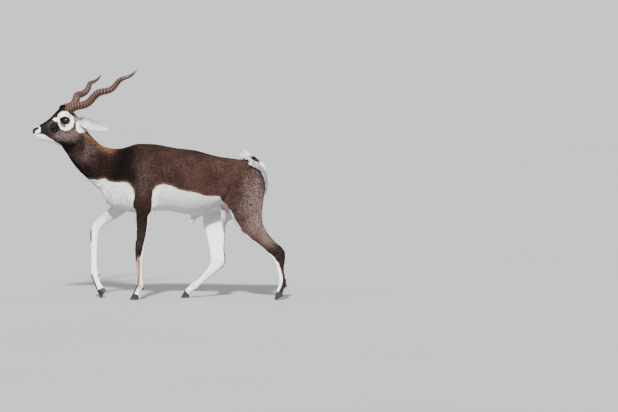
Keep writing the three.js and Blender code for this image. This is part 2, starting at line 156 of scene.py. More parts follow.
# %% Centre lines of the legs
FORE_DEEP = [118, 166, 164, 116, 85, 68, 54, 50, 41, 33, 32, 41, 33, 36]
FORE_WIDE = [44, 68, 72, 55, 43, 37, 31, 34, 28, 22, 23, 31, 27, 34]
FORE_OUT = [44, 60, 66, 73, 75, 73, 70, 67, 65, 63, 61, 60, 59, 58]
HIND_DEEP = [196, 226, 212, 172, 130, 101, 83, 76, 79, 51, 37, 32, 41, 33, 36]
HIND_WIDE = [56, 80, 80, 68, 53, 44, 35, 28, 31, 28, 23, 22, 31, 27, 34]
HIND_OUT = [46, 60, 65, 70, 72, 71, 68, 65, 63, 62, 61, 60, 59, 58, 58]
LEGS = {
    "foreleg_left": {
        "side": -1,
        "x": [-95, -97, -95, -76, -81, -86, -93, -99, -101, -102, -101, -99, -108, -118],
        "z": [711, 641, 561, 480, 425, 364, 302, 252, 210, 155, 104, 72, 50, 30],
    },
    "foreleg_right": {
        "side": 1,
        "x": [-110, -132, -148, -169, -207, -252, -296, -325, -331, -331, -331, -329, -318, -303],
        "z": [692, 624, 556, 493, 449, 415, 382, 343, 297, 231, 162, 118, 82, 46],
    },
    "hind_leg_left": {
        "side": -1,
        "x": [405, 415, 425, 437, 458, 487, 520, 556, 592, 601, 604, 611, 614, 607, 598],
        "z": [641, 571, 503, 436, 374, 332, 297, 262, 228, 188, 151, 112, 84, 60, 37],
    },
    "hind_leg_right": {
        "side": 1,
        "x": [390, 373, 335, 294, 273, 279, 283, 287, 292, 264, 228, 197, 172, 153, 135],
        "z": [633, 562, 496, 442, 384, 326, 268, 224, 184, 145, 108, 79, 61, 45, 29],
    },
}
for name, leg in LEGS.items():
    is_fore = name.startswith("fore")
    leg["deep"], leg["wide"], leg["out"] = (
        (FORE_DEEP, FORE_WIDE, FORE_OUT) if is_fore else (HIND_DEEP, HIND_WIDE, HIND_OUT)
    )
    leg["fore"] = is_fore


def along_line(points, xs, zs):
    """Seen from the side: the place along a line, in rows, how far in front of it, and how far off."""
    best = np.full(len(points), 1e9)
    row = np.zeros(len(points))
    front = np.zeros(len(points))
    for i in range(len(xs) - 1):
        a = np.array([xs[i], zs[i]], float)
        step = np.array([xs[i + 1], zs[i + 1]], float) - a
        length = np.hypot(*step)
        away = points[:, [0, 2]] - a
        share = np.clip(away @ step / length**2, 0, 1)
        off = away - share[:, None] * step
        distance = np.hypot(off[:, 0], off[:, 1])
        ahead = (away[:, 0] * step[1] - away[:, 1] * step[0]) / length
        near = distance < best
        best[near] = distance[near]
        row[near] = i + share[near]
        front[near] = ahead[near]
    return row, front, best


def leg_measures(points):
    """For each point: its leg or -1, its row, how far it is to the front and outside, and the leg's size."""
    count = len(points)
    which = np.full(count, -1)
    row, front, out, half_deep, half_wide = (np.zeros(count) for _ in range(5))
    closest = np.full(count, 1.0)
    for number, leg in enumerate(LEGS.values()):
        r, f, distance = along_line(points, leg["x"], leg["z"])
        deep = np.interp(r, range(len(leg["deep"])), leg["deep"]) / 2
        wide = np.interp(r, range(len(leg["wide"])), leg["wide"]) / 2
        centre = np.interp(r, range(len(leg["out"])), leg["out"])
        outward = points[:, 1] * leg["side"] - centre
        size = np.sqrt((distance / (deep * 1.12)) ** 2 + np.maximum(0, np.abs(outward) / (wide + 16)) ** 4)
        hit = size < closest
        which[hit] = number
        for kept, value in ((row, r), (front, f), (out, outward), (half_deep, deep), (half_wide, wide)):
            kept[hit] = value[hit]
        closest[hit] = size[hit]
    return {
        "which": which,
        "row": row,
        "front": front,
        "out": out,
        "deep": half_deep,
        "wide": half_wide,
    }


def smooth_step(low, high, value):
    """Rises smoothly from 0 to 1 between two values, or falls where the first is the higher."""
    t = np.clip((np.asarray(value, float) - low) / (high - low), 0, 1)
    return t * t * (3 - 2 * t)


def hump(value, width):
    """A smooth hump: 1 where the value is 0, and gone at about twice the width."""
    return np.exp(-((value / width) ** 2))


print(len(LEGS), "legs with", [len(leg["x"]) for leg in LEGS.values()], "sections")


# %% [markdown]
# The skin is one surface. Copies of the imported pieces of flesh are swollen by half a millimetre, so that
# the thin cuts between them close, and then remade as one mesh of small even squares by a voxel remesh.
# The alternative, stitching the pieces along their cuts, would leave creases. The roots of the horns and
# ears go in too, so that the skin runs up to them with no hole.

# %% One surface from the flesh
VOXEL = 0.0061
SWELL = 0.0005
flesh_names = ["head", "neck", "trunk", "tail", "ear_left", "ear_right", *LEGS]
core_names = [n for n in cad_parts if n.startswith(("eye", "claw", "dewclaw"))]


def copy_nodes(names, swell):
    """One bmesh with copies of CAD nodes, each a little swollen."""
    bm = bmesh.new()
    for name in names:
        bm.from_mesh(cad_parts[name].data)
    bmesh.ops.remove_doubles(bm, verts=bm.verts, dist=1e-6)
    bm.normal_update()
    for v in bm.verts:
        v.co += v.normal * swell
    return bm


def root_only(name, centre, direction):
    """A copy of a node, cut off square to a direction at a point, with the cut closed."""
    bm = copy_nodes([name], SWELL)
    everything = bm.verts[:] + bm.edges[:] + bm.faces[:]
    bmesh.ops.bisect_plane(bm, geom=everything, plane_co=centre, plane_no=direction, clear_outer=True)
    bmesh.ops.holes_fill(bm, edges=[e for e in bm.edges if e.is_boundary])
    return bm


def to_frame(points):
    """Points of the animal's own measure in the frame's, in metres."""
    return (np.asarray(points, float) + SHIFT) / 1000


def new_mesh(name, bm):
    """Turns a bmesh into a mesh and frees it."""
    mesh = bpy.data.meshes.new(name)
    bm.to_mesh(mesh)
    bm.free()
    return mesh


def remesh(meshes, voxel):
    """Joins closed meshes into one even skin of squares."""
    bm = bmesh.new()
    for mesh in meshes:
        bm.from_mesh(mesh)
    work = bpy.data.objects.new("work", new_mesh("work", bm))
    bpy.context.scene.collection.objects.link(work)
    squares = work.modifiers.new("squares", "REMESH")
    squares.mode = "VOXEL"
    squares.voxel_size = voxel
    seen = work.evaluated_get(bpy.context.evaluated_depsgraph_get())
    made = bpy.data.meshes.new_from_object(seen)
    bpy.data.objects.remove(work)
    return made


HORN_BASE = np.array([61.0, 26.0, 942.0])
HORN_CHORD = np.array([-300.0, 205.0, 189.0])
HORN_ALONG = unit(HORN_CHORD)
HORN_STEM = 14.0
EAR_BASE = np.array([10.0, 38.0, 893.0])
EAR_ALONG = unit([-0.7, 0.64, -0.32])
EAR_LENGTH = 164.0
EAR_STEM = 0.1 * EAR_LENGTH
SIDES = ((1, "left"), (-1, "right"))
flesh = [n for n in flesh_names if not n.startswith("ear")] + core_names
parts = [new_mesh("flesh", copy_nodes(flesh, SWELL))]
for side, word in SIDES:
    mirror = np.array([1, side, 1])
    horn_stem, ear_stem = (HORN_BASE, HORN_ALONG, HORN_STEM), (EAR_BASE, EAR_ALONG, EAR_STEM)
    for kind, (base, along, stem) in (("horn", horn_stem), ("ear", ear_stem)):
        centre = to_frame(head_point(*(mirror * base + stem * (mirror * along))))
        root = root_only(f"{kind}_{word}", centre, head_direction(*(mirror * along)))
        parts.append(new_mesh(f"{kind} root", root))
skin_mesh = remesh(parts, VOXEL)
print("skin of", len(skin_mesh.polygons), "squares")

# %% [markdown]
# Squares of about six millimetres suit the trunk, but not the face or the tendons of the legs. Those
# regions are subdivided once, and the eyes, scent glands, nostrils and mouth once more. Between the steps
# the surface is smoothed, strongly on the barrel and hardly at all on the feet, which takes the packed
# model's facets away and leaves its proportions.


# %% Smoothing and local detail
def read_points(mesh):
    """A mesh's points in the animal's own measure."""
    co = np.empty(len(mesh.vertices) * 3)
    mesh.vertices.foreach_get("co", co)
    return co.reshape(-1, 3) * 1000 - SHIFT


def write_points(mesh, points):
    mesh.vertices.foreach_set("co", to_frame(points).ravel())
    mesh.update()


def read_normals(mesh):
    normals = np.empty(len(mesh.vertices) * 3)
    mesh.vertex_normals.foreach_get("vector", normals)
    return normals.reshape(-1, 3)


def read_edges(mesh):
    edges = np.empty(len(mesh.edges) * 2, int)
    mesh.edges.foreach_get("vertices", edges)
    return edges.reshape(-1, 2)


def edges_at(edges, count):
    """How many edges meet at each point."""
    return np.maximum(1, np.bincount(edges.ravel(), minlength=count))


def neighbour_mean(values, edges, degree):
    """The mean of the values at the far ends of each point's edges."""
    a, b = edges.T
    total = np.empty_like(values)
    for k in range(values.shape[1]):
        total[:, k] = np.bincount(a, values[b, k], len(values)) + np.bincount(b, values[a, k], len(values))
    return total / degree[:, None]


def smooth_mesh(mesh, weight, rounds):
    """Blurs the surface, and then gives back a blurred copy of what that took, so that it hardly shrinks."""
    points, edges = read_points(mesh), read_edges(mesh)
    degree = edges_at(edges, len(points))

    def blur(values):
        for _ in range(rounds):
            values = values + 0.55 * weight[:, None] * (neighbour_mean(values, edges, degree) - values)
        return values

    blurred = blur(points)
    write_points(mesh, blurred + blur(points - blurred))


def subdivide_where(mesh, wanted):
    """Subdivides the faces whose middle a function picks, once."""
    bm = bmesh.new()
    bm.from_mesh(mesh)
    middles = np.array([f.calc_center_median() for f in bm.faces]) * 1000 - SHIFT
    faces = [f for f, pick in zip(bm.faces, wanted(middles)) if pick]
    edges = list({e for f in faces for e in f.edges})
    bmesh.ops.subdivide_edges(bm, edges=edges, cuts=1, use_grid_fill=True)
    bm.to_mesh(mesh)
    bm.free()


def stiffness(points):
    """How strongly the first smoothing acts: 1 on the barrel, little on the head, tail and lower legs."""
    fore, _, up = head_place(points)
    on_head = smooth_step(-40, 0, fore) * smooth_step(700, 760, points[:, 2])
    low = smooth_step(470, 380, points[:, 2])
    on_tail = smooth_step(18, 2, np.abs(points[:, 1])) * smooth_step(390, 420, points[:, 0])
    on_tail *= smooth_step(640, 660, points[:, 2] + 0.55 * (points[:, 0] - 516))
    weight = 1 - 0.9 * on_head
    weight *= 1 - 0.92 * low
    return np.clip(weight * (1 - 0.94 * on_tail), 0.05, 1)


HEAD_FLOOR = 745.0
smooth_mesh(skin_mesh, stiffness(read_points(skin_mesh)), 90)


def head_or_shank(points):
    """Picks the head and the thin part of the legs."""
    fore, _, _ = head_place(points)
    legs = leg_measures(points)
    shank = (legs["which"] >= 0) & (points[:, 2] < 370) & (points[:, 2] > 25)
    return ((fore > -12) & (points[:, 2] > HEAD_FLOOR)) | shank


def near_features(points):
    """Picks the skin round the eyes, scent glands, nostrils and mouth."""
    fore, left, up = head_place(points)
    eye = np.sqrt((fore - 77) ** 2 + (np.abs(left) - 45) ** 2 + (up - 893) ** 2) < 34
    muzzle = (fore > 205) & (np.abs(up - 838) < 30)
    lips = (fore > 183) & (np.abs(up - 812 - 0.16 * (fore - 190)) < 8)
    gland = np.sqrt((fore - 138) ** 2 + (up - 850) ** 2) < 17
    return (eye | muzzle | lips | gland) & (points[:, 2] > HEAD_FLOOR)


subdivide_where(skin_mesh, head_or_shank)
smooth_mesh(skin_mesh, np.full(len(skin_mesh.vertices), 0.8), 5)
subdivide_where(skin_mesh, near_features)
smooth_mesh(skin_mesh, np.full(len(skin_mesh.vertices), 0.6), 3)
print("skin of", len(skin_mesh.polygons), "faces after the finer regions")

# %% [markdown]
# The frame's surface is where the hair ends, so the skin itself lies a little deeper: three and a half
# millimetres on the flanks and belly, two on the back, where the hair lies flattest, and one and a half
# on the face and lower legs, where it is shortest.

# %% Depth of the coat
points = read_points(skin_mesh)
normals = read_normals(skin_mesh)
legs = leg_measures(points)
fore, left, up = head_place(points)
on_head = smooth_step(-30, 0, fore) * smooth_step(720, 760, points[:, 2])
low_leg = smooth_step(430, 330, points[:, 2])
COAT_DEPTH = {"body": 3.6, "less on the head": 2.2, "less on the legs": 2.2, "less on the back": 1.4}
facing_up = smooth_step(0.3, 0.9, normals[:, 2])
depth = COAT_DEPTH["body"] - COAT_DEPTH["less on the head"] * on_head
depth -= COAT_DEPTH["less on the legs"] * low_leg * (1 - on_head)
depth -= COAT_DEPTH["less on the back"] * facing_up * (1 - on_head) * (1 - low_leg)
points -= depth[:, None] * normals
print("the skin lies", round(float(depth.min()), 1), "to", round(float(depth.max()), 1), "mm deep")


# %% [markdown]
# The forms under the skin are pushed and pulled in code like clay. Each stroke is a line on the animal's
# side, a width and a lift, and it fades away from the line. Blades, hip, thigh and the grooves between
# muscles are strokes. On the legs the strokes follow the bones: a hollow in front of the hamstring above
# each hock, flat grooves beside the cannon's tendons, and thicker knees and fetlocks.


# %% Muscles of the body
def line_distance(points, line):
    """How far points are from a line drawn on the animal's side."""
    _, _, distance = along_line(points, [p[0] for p in line], [p[1] for p in line])
    return distance


STROKES = [
    # side (-1 left, 1 right, 0 both), line of (x, z), width, lift
    (-1, [(-95, 742), (-118, 655), (-150, 585)], 26, 2.0),
    (1, [(-95, 742), (-135, 655), (-180, 575)], 26, 2.0),
    (0, [(-38, 700), (-24, 610), (-40, 520)], 30, -3.0),
    (-1, [(-150, 585), (-120, 548), (-70, 500)], 20, 2.6),
    (1, [(-190, 575), (-160, 520), (-130, 470)], 20, 2.6),
    (0, [(-205, 640), (-225, 560), (-230, 500)], 26, -2.6),
    (0, [(285, 650), (308, 610), (318, 560)], 36, -3.4),
    (0, [(318, 690), (352, 678)], 26, 3.0),
    (0, [(330, 540), (300, 505), (268, 478)], 16, 3.0),
    (0, [(500, 640), (508, 600)], 24, 2.0),
    (-1, [(478, 600), (480, 520), (496, 420)], 24, -1.8),
    (-1, [(395, 600), (400, 520), (430, 430)], 28, 3.5),
    (1, [(438, 600), (410, 530), (350, 440)], 24, -1.8),
    (0, [(-330, 700), (-290, 640), (-250, 590)], 18, -2.0),
    (0, [(-430, 735), (-370, 655), (-310, 585)], 13, -2.6),
]
for side, line, width, lift in STROKES:
    lateral = np.abs(normals[:, 1]) if side == 0 else np.clip(side * normals[:, 1], 0, 1)
    fade = hump(line_distance(points, line), width) * smooth_step(0.35, 0.8, lateral)
    points += (lift * fade * (1 - on_head))[:, None] * normals

SPINE = {"width": 11, "lift": 1.6}
spine = hump(points[:, 1], SPINE["width"]) * smooth_step(0.7, 0.95, normals[:, 2])
points[:, 2] += SPINE["lift"] * spine * smooth_step(-80, 0, points[:, 0])
print(len(STROKES), "strokes on the body")

# %% Bones and tendons of the legs
write_points(skin_mesh, points)
normals = read_normals(skin_mesh)
is_fore = np.isin(legs["which"], (0, 1))
on_leg = (legs["which"] >= 0) & (points[:, 2] < 400)
forth = legs["front"] / np.maximum(legs["deep"], 1)
sideways = np.abs(normals[:, 1])
row = legs["row"]
knee_row = np.where(is_fore, 7.0, 8.0)
fetlock_row = np.where(is_fore, 11.0, 12.0)
cannon = smooth_step(0.6, 1.4, row - knee_row) * smooth_step(0.3, -0.5, row - fetlock_row)
lift = -1.7 * cannon * hump(forth + 0.22, 0.2)
gaskin = np.where(is_fore, 0, smooth_step(5.0, 6.3, row) * smooth_step(8.0, 7.3, row))
lift -= 4.2 * gaskin * hump(forth + 0.42, 0.2)
lift += 1.3 * hump(row - knee_row, 0.45) * smooth_step(-0.2, 0.6, forth)
lift += 0.9 * hump(row - fetlock_row, 0.35)
forearm = np.where(is_fore, smooth_step(3.6, 4.4, row) * smooth_step(6.6, 5.6, row), 0)
lift -= 1.6 * forearm * hump(forth + 0.1, 0.16)
points += (lift * on_leg * smooth_step(0.3, 0.9, sideways))[:, None] * normals
write_points(skin_mesh, points)
print("the deepest groove on a leg is", round(float(-lift.min()), 1), "mm")

# %% [markdown]
# The head gets the most care. The lids are pulled over the eyeball: seen from the middle of the eye, the
# opening is an almond, skin inside it is pushed behind the eyeball, and skin outside it lies on a
# slightly larger ball. In front of each eye a blackbuck has a large scent gland, a black pucker in a
# round black patch. The nostrils are commas cut into the end of the muzzle, with a mouth line under them.


# %% Lids
def eye_centre(side):
    return head_point(EYE_PLACE[0], side * EYE_PLACE[1], EYE_PLACE[2])


def eye_axes(side):
    """The way an eye looks, the line from corner to corner of its lids, and the way up across them."""
    out = unit(side * LEFT * 0.95 + FORE * 0.28 + UP * 0.06)
    level = unit(FORE - (FORE @ out) * out)
    level = unit(level - 0.22 * np.cross(out, level) * side)
    high = np.cross(level, out) * side
    return out, level, high * np.sign(high @ UP)


OPENING = {"half": 66, "upper": 40, "lower": 34, "back": 4}


def lid_gap(points, side):
    """Round an eye: how far outside the almond opening of the lids each point is, and its place.

    The gap is in millimetres on the eyeball and below 0 inside the opening. The place is the distance from
    the eye's middle, how squarely the point faces the way the eye looks, and its angle above the middle.
    """
    centre = eye_centre(side)
    out, level, high = eye_axes(side)
    away = points - centre
    radius = np.linalg.norm(away, axis=1)
    depth = away @ out
    across = np.degrees(np.arctan2(away @ level, depth))
    above = np.degrees(np.arctan2(away @ high, np.maximum(depth, 0.1 * radius)))
    from_middle = np.abs(across + OPENING["back"])
    arch = 1 - np.clip(from_middle / OPENING["half"], 0, 1) ** 2.2
    outside = np.maximum(above - OPENING["upper"] * arch, -OPENING["lower"] * arch - above)
    outside = np.maximum(outside, from_middle - OPENING["half"])
    return outside * math.radians(1) * EYE_RADIUS, radius, depth / np.maximum(radius, 1e-6), above


LID_EDGE = 0.7
LID_SWELL = 1.9
for side, word in SIDES:
    gap, radius, facing, above = lid_gap(points, side)
    near = (radius < 44) & (facing > 0.05)
    lid = EYE_RADIUS + LID_EDGE + LID_SWELL * (1 - np.exp(-np.maximum(gap, 0) / 1.6))
    lid = lid + np.where(above > 0, -1.3, -0.9) * hump(gap - 5.5, 1.5)
    kept = smooth_step(4.5, 12.0, gap)
    wanted = np.where(gap < 0, EYE_RADIUS - 4.0, lid * (1 - kept) + radius * kept)
    wanted = np.where(facing < 0.3, radius + (wanted - radius) * smooth_step(0.05, 0.3, facing), wanted)
    moved = eye_centre(side) + (points - eye_centre(side)) * (wanted / radius)[:, None]
    points = np.where(near[:, None], moved, points)
    print("lids of the", word, "eye:", int((near & (gap < 0)).sum()), "points behind the eyeball's front")

# %% Scent gland, cheeks and jaw
write_points(skin_mesh, points)
normals = read_normals(skin_mesh)
fore, left, up = head_place(points)
beside = np.abs(left)
outward = np.abs(normals @ LEFT)
head_only = (fore > -20) & (points[:, 2] > HEAD_FLOOR)


def press(lift):
    """Moves the head's skin along its normals."""
    global points
    points = points + (np.where(head_only, lift, 0))[:, None] * normals


GLAND_PLACE = {"fore": 140, "up": 850}


def from_gland(fore, up):
    """How far a place on the side of the face is from the middle of the scent gland."""
    return np.hypot(fore - GLAND_PLACE["fore"], (up - GLAND_PLACE["up"]) * 1.15)


gland_ring = from_gland(fore, up)
press((1.8 * hump(gland_ring - 10, 4) - 4.2 * hump(gland_ring, 5)) * smooth_step(0.4, 0.7, outward))
cheek = np.exp(-(((fore - 55) / 30) ** 2) - ((up - 812) / 26) ** 2)
press(2.6 * cheek * smooth_step(0.3, 0.8, outward))
face_ridge = np.abs(up - (868 - 0.16 * (fore - 100)))
press(1.8 * hump(face_ridge, 7) * smooth_step(110, 120, fore) * smooth_step(200, 170, fore) * outward)
hollow = np.exp(-(((fore - 118) / 16) ** 2) - ((up - 905) / 13) ** 2)
press(-2.6 * hollow * smooth_step(0.3, 0.8, outward))
jaw_line = np.abs(up - (776 + 0.12 * fore))
press(1.2 * hump(jaw_line, 6) * smooth_step(20, 40, fore) * smooth_step(170, 140, fore))
print("the cheeks, jaw and scent glands are done")

# %% Nostrils and mouth
NOSTRIL = [(242, 6, 850), (240, 12, 852), (234, 17, 852), (227, 20, 848), (223, 20, 843)]
slot_line = np.array(NOSTRIL, float)
slot = np.full(len(points), 1e9)
for a, b in zip(slot_line[:-1], slot_line[1:]):
    here = np.stack([fore, beside, up], 1)
    share = np.clip((here - a) @ (b - a) / ((b - a) @ (b - a)), 0, 1)
    slot = np.minimum(slot, np.linalg.norm(here - a - share[:, None] * (b - a), axis=1))
press(-7.5 * hump(slot, 2.8) + 1.6 * hump(slot - 5.5, 2.0))

MOUTH = np.array([(190, 809), (214, 815), (232, 821), (250, 829)], float)


def above_mouth(fore, up):
    """How far a place of the head is above the line of the mouth."""
    return up - np.interp(fore, MOUTH[:, 0], MOUTH[:, 1])


lip = above_mouth(fore, up)
press((-2.4 * hump(lip, 1.7) + 0.9 * hump(lip - 5, 3)) * smooth_step(186, 194, fore))
philtrum = hump(left, 1.8) * smooth_step(228, 236, fore) * smooth_step(0, 6, lip)
press(-1.2 * philtrum * smooth_step(850, 842, up))
write_points(skin_mesh, points)
print("the nostrils and a mouth of", np.ptp(MOUTH[:, 0]), "mm are cut")

# %% [markdown]
# The ears are leaf-shaped troughs of skin a few millimetres thick. They are swept from the solid stem of
# the frame's ear to its tip, with an outer and an inner wall, and two low ribs inside. They join the skin
# as part of the same mesh, with the root of each sunk in the stem.

# %% Ears
EAR_STEPS = 44
EAR_HALF = 16
EAR_CUP = 19


def ear_rows(side):
    """Rings of points round the ear from root to tip, with how far along and whether on the inner wall."""
    opening = np.array([0.62, 0.74, -0.12])
    opening = unit(opening - (opening @ EAR_ALONG) * EAR_ALONG)
    edge = np.cross(EAR_ALONG, opening)
    rings, alongs = [], []
    for t in 1 - np.linspace(1.04, 0, EAR_STEPS) ** 1.3:
        safe = np.clip(t, 0, 1)
        wide = 0.6 + 27 * max(0.0, math.sin(math.pi * (0.22 + 0.78 * safe) ** 0.84)) ** 0.5
        wide *= 1 - 0.3 * float(smooth_step(0.22, -0.04, t))
        wide += 1.6 * math.sin(31 * t) * float(smooth_step(0.1, 0.3, t)) * (1 - t)
        cup = EAR_CUP * (1 - safe) ** 0.6 * (1 - 0.25 * t) * (1 - 0.35 * float(smooth_step(0.2, -0.04, t)))
        hollow = float(smooth_step(-0.02, 0.34, t))
        thick = 5.2 - 3.4 * t
        middle = EAR_BASE + EAR_LENGTH * t * EAR_ALONG
        share = np.sin(np.linspace(-0.5, 0.5, EAR_HALF) * math.pi)
        ripple = 1 + 0.09 * np.sin(19 * t + 2) * np.clip(-share, 0, 1) * min(1, 5 * max(0, t - 0.2))
        outer = middle + np.outer(share * ripple * (wide - 0.6), edge)
        outer += np.outer(-cup * (1 - share**2) + 0.6, opening)
        narrow = 1 - thick / (2 * wide + thick)
        back = share[::-1] * ripple[::-1] * narrow
        ribs = 1.3 * hump(back - 0.3, 0.13) + 1.1 * hump(back + 0.25, 0.12)
        ribs *= hollow * (1 - t)
        inner = middle + np.outer(back * wide, edge)
        inner += np.outer(-cup * hollow * (1 - back**2) + thick + ribs, opening)
        ring = np.concatenate([outer, inner])
        ring[:, 1] *= side
        rings.append(head_point(*ring.T))
        alongs.append(np.full(len(ring), t))
    inners = np.tile(np.repeat([0.0, 1.0], EAR_HALF), (EAR_STEPS, 1))
    return np.array(rings), np.array(alongs), inners


def sweep(bm, rings, **numbers):
    """Bends a grid into a tube through rings of points, closes it, and keeps numbers on its points."""
    rows, sides = rings.shape[:2]
    for name in numbers:
        if name not in bm.verts.layers.float:
            bm.verts.layers.float.new(name)
    grid = bmesh.ops.create_grid(bm, x_segments=sides, y_segments=rows - 1, size=1)["verts"]
    column = np.array([round((v.co.x + 1) / 2 * sides) % sides for v in grid])
    row = np.array([round((v.co.y + 1) / 2 * (rows - 1)) for v in grid])
    for v, place in zip(grid, to_frame(rings[row, column])):
        v.co = place
    for name, values in numbers.items():
        layer = bm.verts.layers.float[name]
        for v, value in zip(grid, values[row, column]):
            v[layer] = value
    bmesh.ops.remove_doubles(bm, verts=grid, dist=1e-6)
    bmesh.ops.holes_fill(bm, edges=[e for e in bm.edges if e.is_boundary], sides=0)


def numbers_on(mesh, name):
    """One kept number for each point of a mesh."""
    values = np.empty(len(mesh.vertices), np.float32)
    mesh.attributes[name].data.foreach_get("value", values)
    return values.astype(float)


ear_bm = bmesh.new()
for side, _ in SIDES:
    rings, alongs, inners = ear_rows(side)
    sweep(ear_bm, rings, ear_along=alongs, ear_inner=inners)
bmesh.ops.recalc_face_normals(ear_bm, faces=ear_bm.faces)
body_count = len(skin_mesh.vertices)
whole = bmesh.new()
whole.from_mesh(skin_mesh)
ear_mesh = new_mesh("ears", ear_bm)
ear_along, ear_inner = (
    np.concatenate([np.zeros(body_count), numbers_on(ear_mesh, name)]) for name in ("ear_along", "ear_inner")
)
whole.from_mesh(ear_mesh)
skin_mesh = new_mesh("skin", whole)
is_ear = np.arange(len(skin_mesh.vertices)) >= body_count
skin = bpy.data.objects.new("skin", skin_mesh)
bpy.context.scene.collection.objects.link(skin)
print("skin with ears:", len(skin_mesh.vertices), "points")

# %% [markdown]
# The markings are the blackbuck's own: dark brown above, white below, with a sharp border. Each is an
# outline in the picture's pixels, and both sides of the animal use the same outline, because each point
# of the right side is mirrored to the left before it is looked up. The legs have theirs by the bones, as
# the two sides stand differently. What is stored on the skin is the distance to the border, so the
# materials can draw it as sharp and hairy as they like.


# %% Distance to an outline
def inside(x, y, outline):
    """The signed distance of places to a closed outline, in pixels, above 0 inside it."""
    corners = np.array(outline, float)
    best = np.full(len(x), 1e9)
    odd = np.zeros(len(x), bool)
    for (ax, ay), (bx, by) in zip(corners, np.roll(corners, -1, 0)):
        length = (bx - ax) ** 2 + (by - ay) ** 2
        share = np.clip(((x - ax) * (bx - ax) + (y - ay) * (by - ay)) / length, 0, 1)
        best = np.minimum(best, np.hypot(x - ax - share * (bx - ax), y - ay - share * (by - ay)))
        crosses = (ay > y) != (by > y)
        with np.errstate(divide="ignore", invalid="ignore"):
            odd ^= crosses & (x < (bx - ax) * (y - ay) / (by - ay) + ax)
    return np.where(odd, best, -best)


# %% Outlines of the markings
BELLY = [
    (80, 179), (86, 178.6), (95, 178), (105, 178.5), (110, 181.5), (123, 182.5), (128, 183.5), (132.5, 189),
    (134.5, 199), (136, 212), (148, 212), (149, 203), (151, 197), (154, 191), (158, 186.3), (163, 185),
    (172, 186.5), (180, 189.5), (190, 192), (205, 196), (218, 197.5), (224, 199.5), (229, 207), (236, 219),
    (240, 235), (240, 300), (60, 300), (60, 190),
]
MUZZLE = [
    (28, 139), (33.5, 134.4), (36.5, 133.8), (40, 134.6), (44, 134.4), (48, 136.6), (52, 139.2), (56, 142),
    (61, 144.8), (64, 148), (60, 152), (26, 152),
]
NOSTRIL_BAND = [
    (33.2, 127.4), (35.6, 125.4), (38.4, 125), (41, 127), (42, 130), (41.4, 133), (37.6, 134),
    (33.6, 133.6),
]
EYE_RING = [
    (58.4, 119.4), (59, 114.6), (62.5, 111.8), (67, 111.6), (71, 113.8), (74, 117.5), (75, 122.5),
    (73.8, 127), (70.5, 130), (66, 131.2), (62, 129.4), (59.6, 125.5),
]
BROW_SPOT = [(53.6, 120.2), (54.6, 118.4), (57.6, 117.9), (59.4, 118.6), (59.2, 121.4), (56.4, 122)]
EYE_DARK = [
    (59.8, 118.8), (63, 117.2), (66.5, 116.6), (70, 118), (71.6, 121), (69.4, 124), (66, 125),
    (63.4, 124.6), (61, 122.4),
]
LOWER_LID = [
    (60.6, 121), (62.4, 121.6), (64, 124.4), (66.4, 125.2), (66.8, 126.8), (65.2, 128), (62.8, 127),
    (60.8, 124.2),
]
EAR_PATCH = [(76.6, 124), (79, 120), (86, 121), (88, 128), (85, 132), (80, 133.4), (77, 130.6)]
MASK = [
    (29, 126.5), (36, 119), (50, 109), (57, 102), (69, 100), (67, 108.6), (62, 110.6), (58, 114),
    (55.6, 117.2), (52.6, 119.6), (49, 122.8), (44.6, 126), (42, 127.4), (38.4, 125), (35, 126),
]
GLAND = [
    (50.5, 128), (51.6, 124.6), (54.8, 122.5), (58.6, 123.6), (60.4, 127.4), (59.4, 131.4), (56, 133.4),
    (52.2, 132),
]
FACE_SIDE = [(40, 127), (50, 124), (56, 121), (52, 128), (51, 134), (43, 134)]
# Under the angle of the jaw: painted shade, not a marking.
JAW_SHADE = [(61, 141), (66, 140.6), (69, 144.4), (67, 148), (62, 149.5)]
NECK_FRONT = [(60, 146), (67, 146), (73, 158), (82, 170), (92, 178.4), (86, 180), (70, 172), (56, 150)]
NAPE = [
    (82, 124), (88, 129), (93, 134.6), (100, 143), (108, 147), (114, 149), (112, 153.4), (104, 151.6),
    (97, 146.4), (88, 137.6), (81, 130),
]
# Outlines of painted sheen on the neck, the shoulder and the thigh, not markings.
NECK_SHEEN = [(68, 134), (80, 132), (89, 141), (95, 149), (91, 158), (84, 160), (77, 156), (70, 146)]
SHOULDER_SHEEN = [(137, 160), (149, 158), (152, 178), (146, 192), (139, 188)]
THIGH_SHEEN = [
    (245.5, 186), (253, 175), (268, 170), (280, 204), (277, 224), (263, 232), (250, 226), (244, 208),
]
CHEEK = [(60, 131), (70, 131.5), (77, 127), (82, 133), (76, 142), (68, 141), (60, 140), (54, 138)]
EAR_TAN = [(74, 112.5), (80, 112), (86, 117), (84, 121.5), (78, 124), (75, 119)]
EAR_BASE_TAN = [(73, 112), (80, 111), (87, 116), (84.6, 118.6), (81.5, 120.6), (77, 120.8), (74.4, 119)]

print(len(MASK), "points round the mask and", len(BELLY), "round the white of the belly")

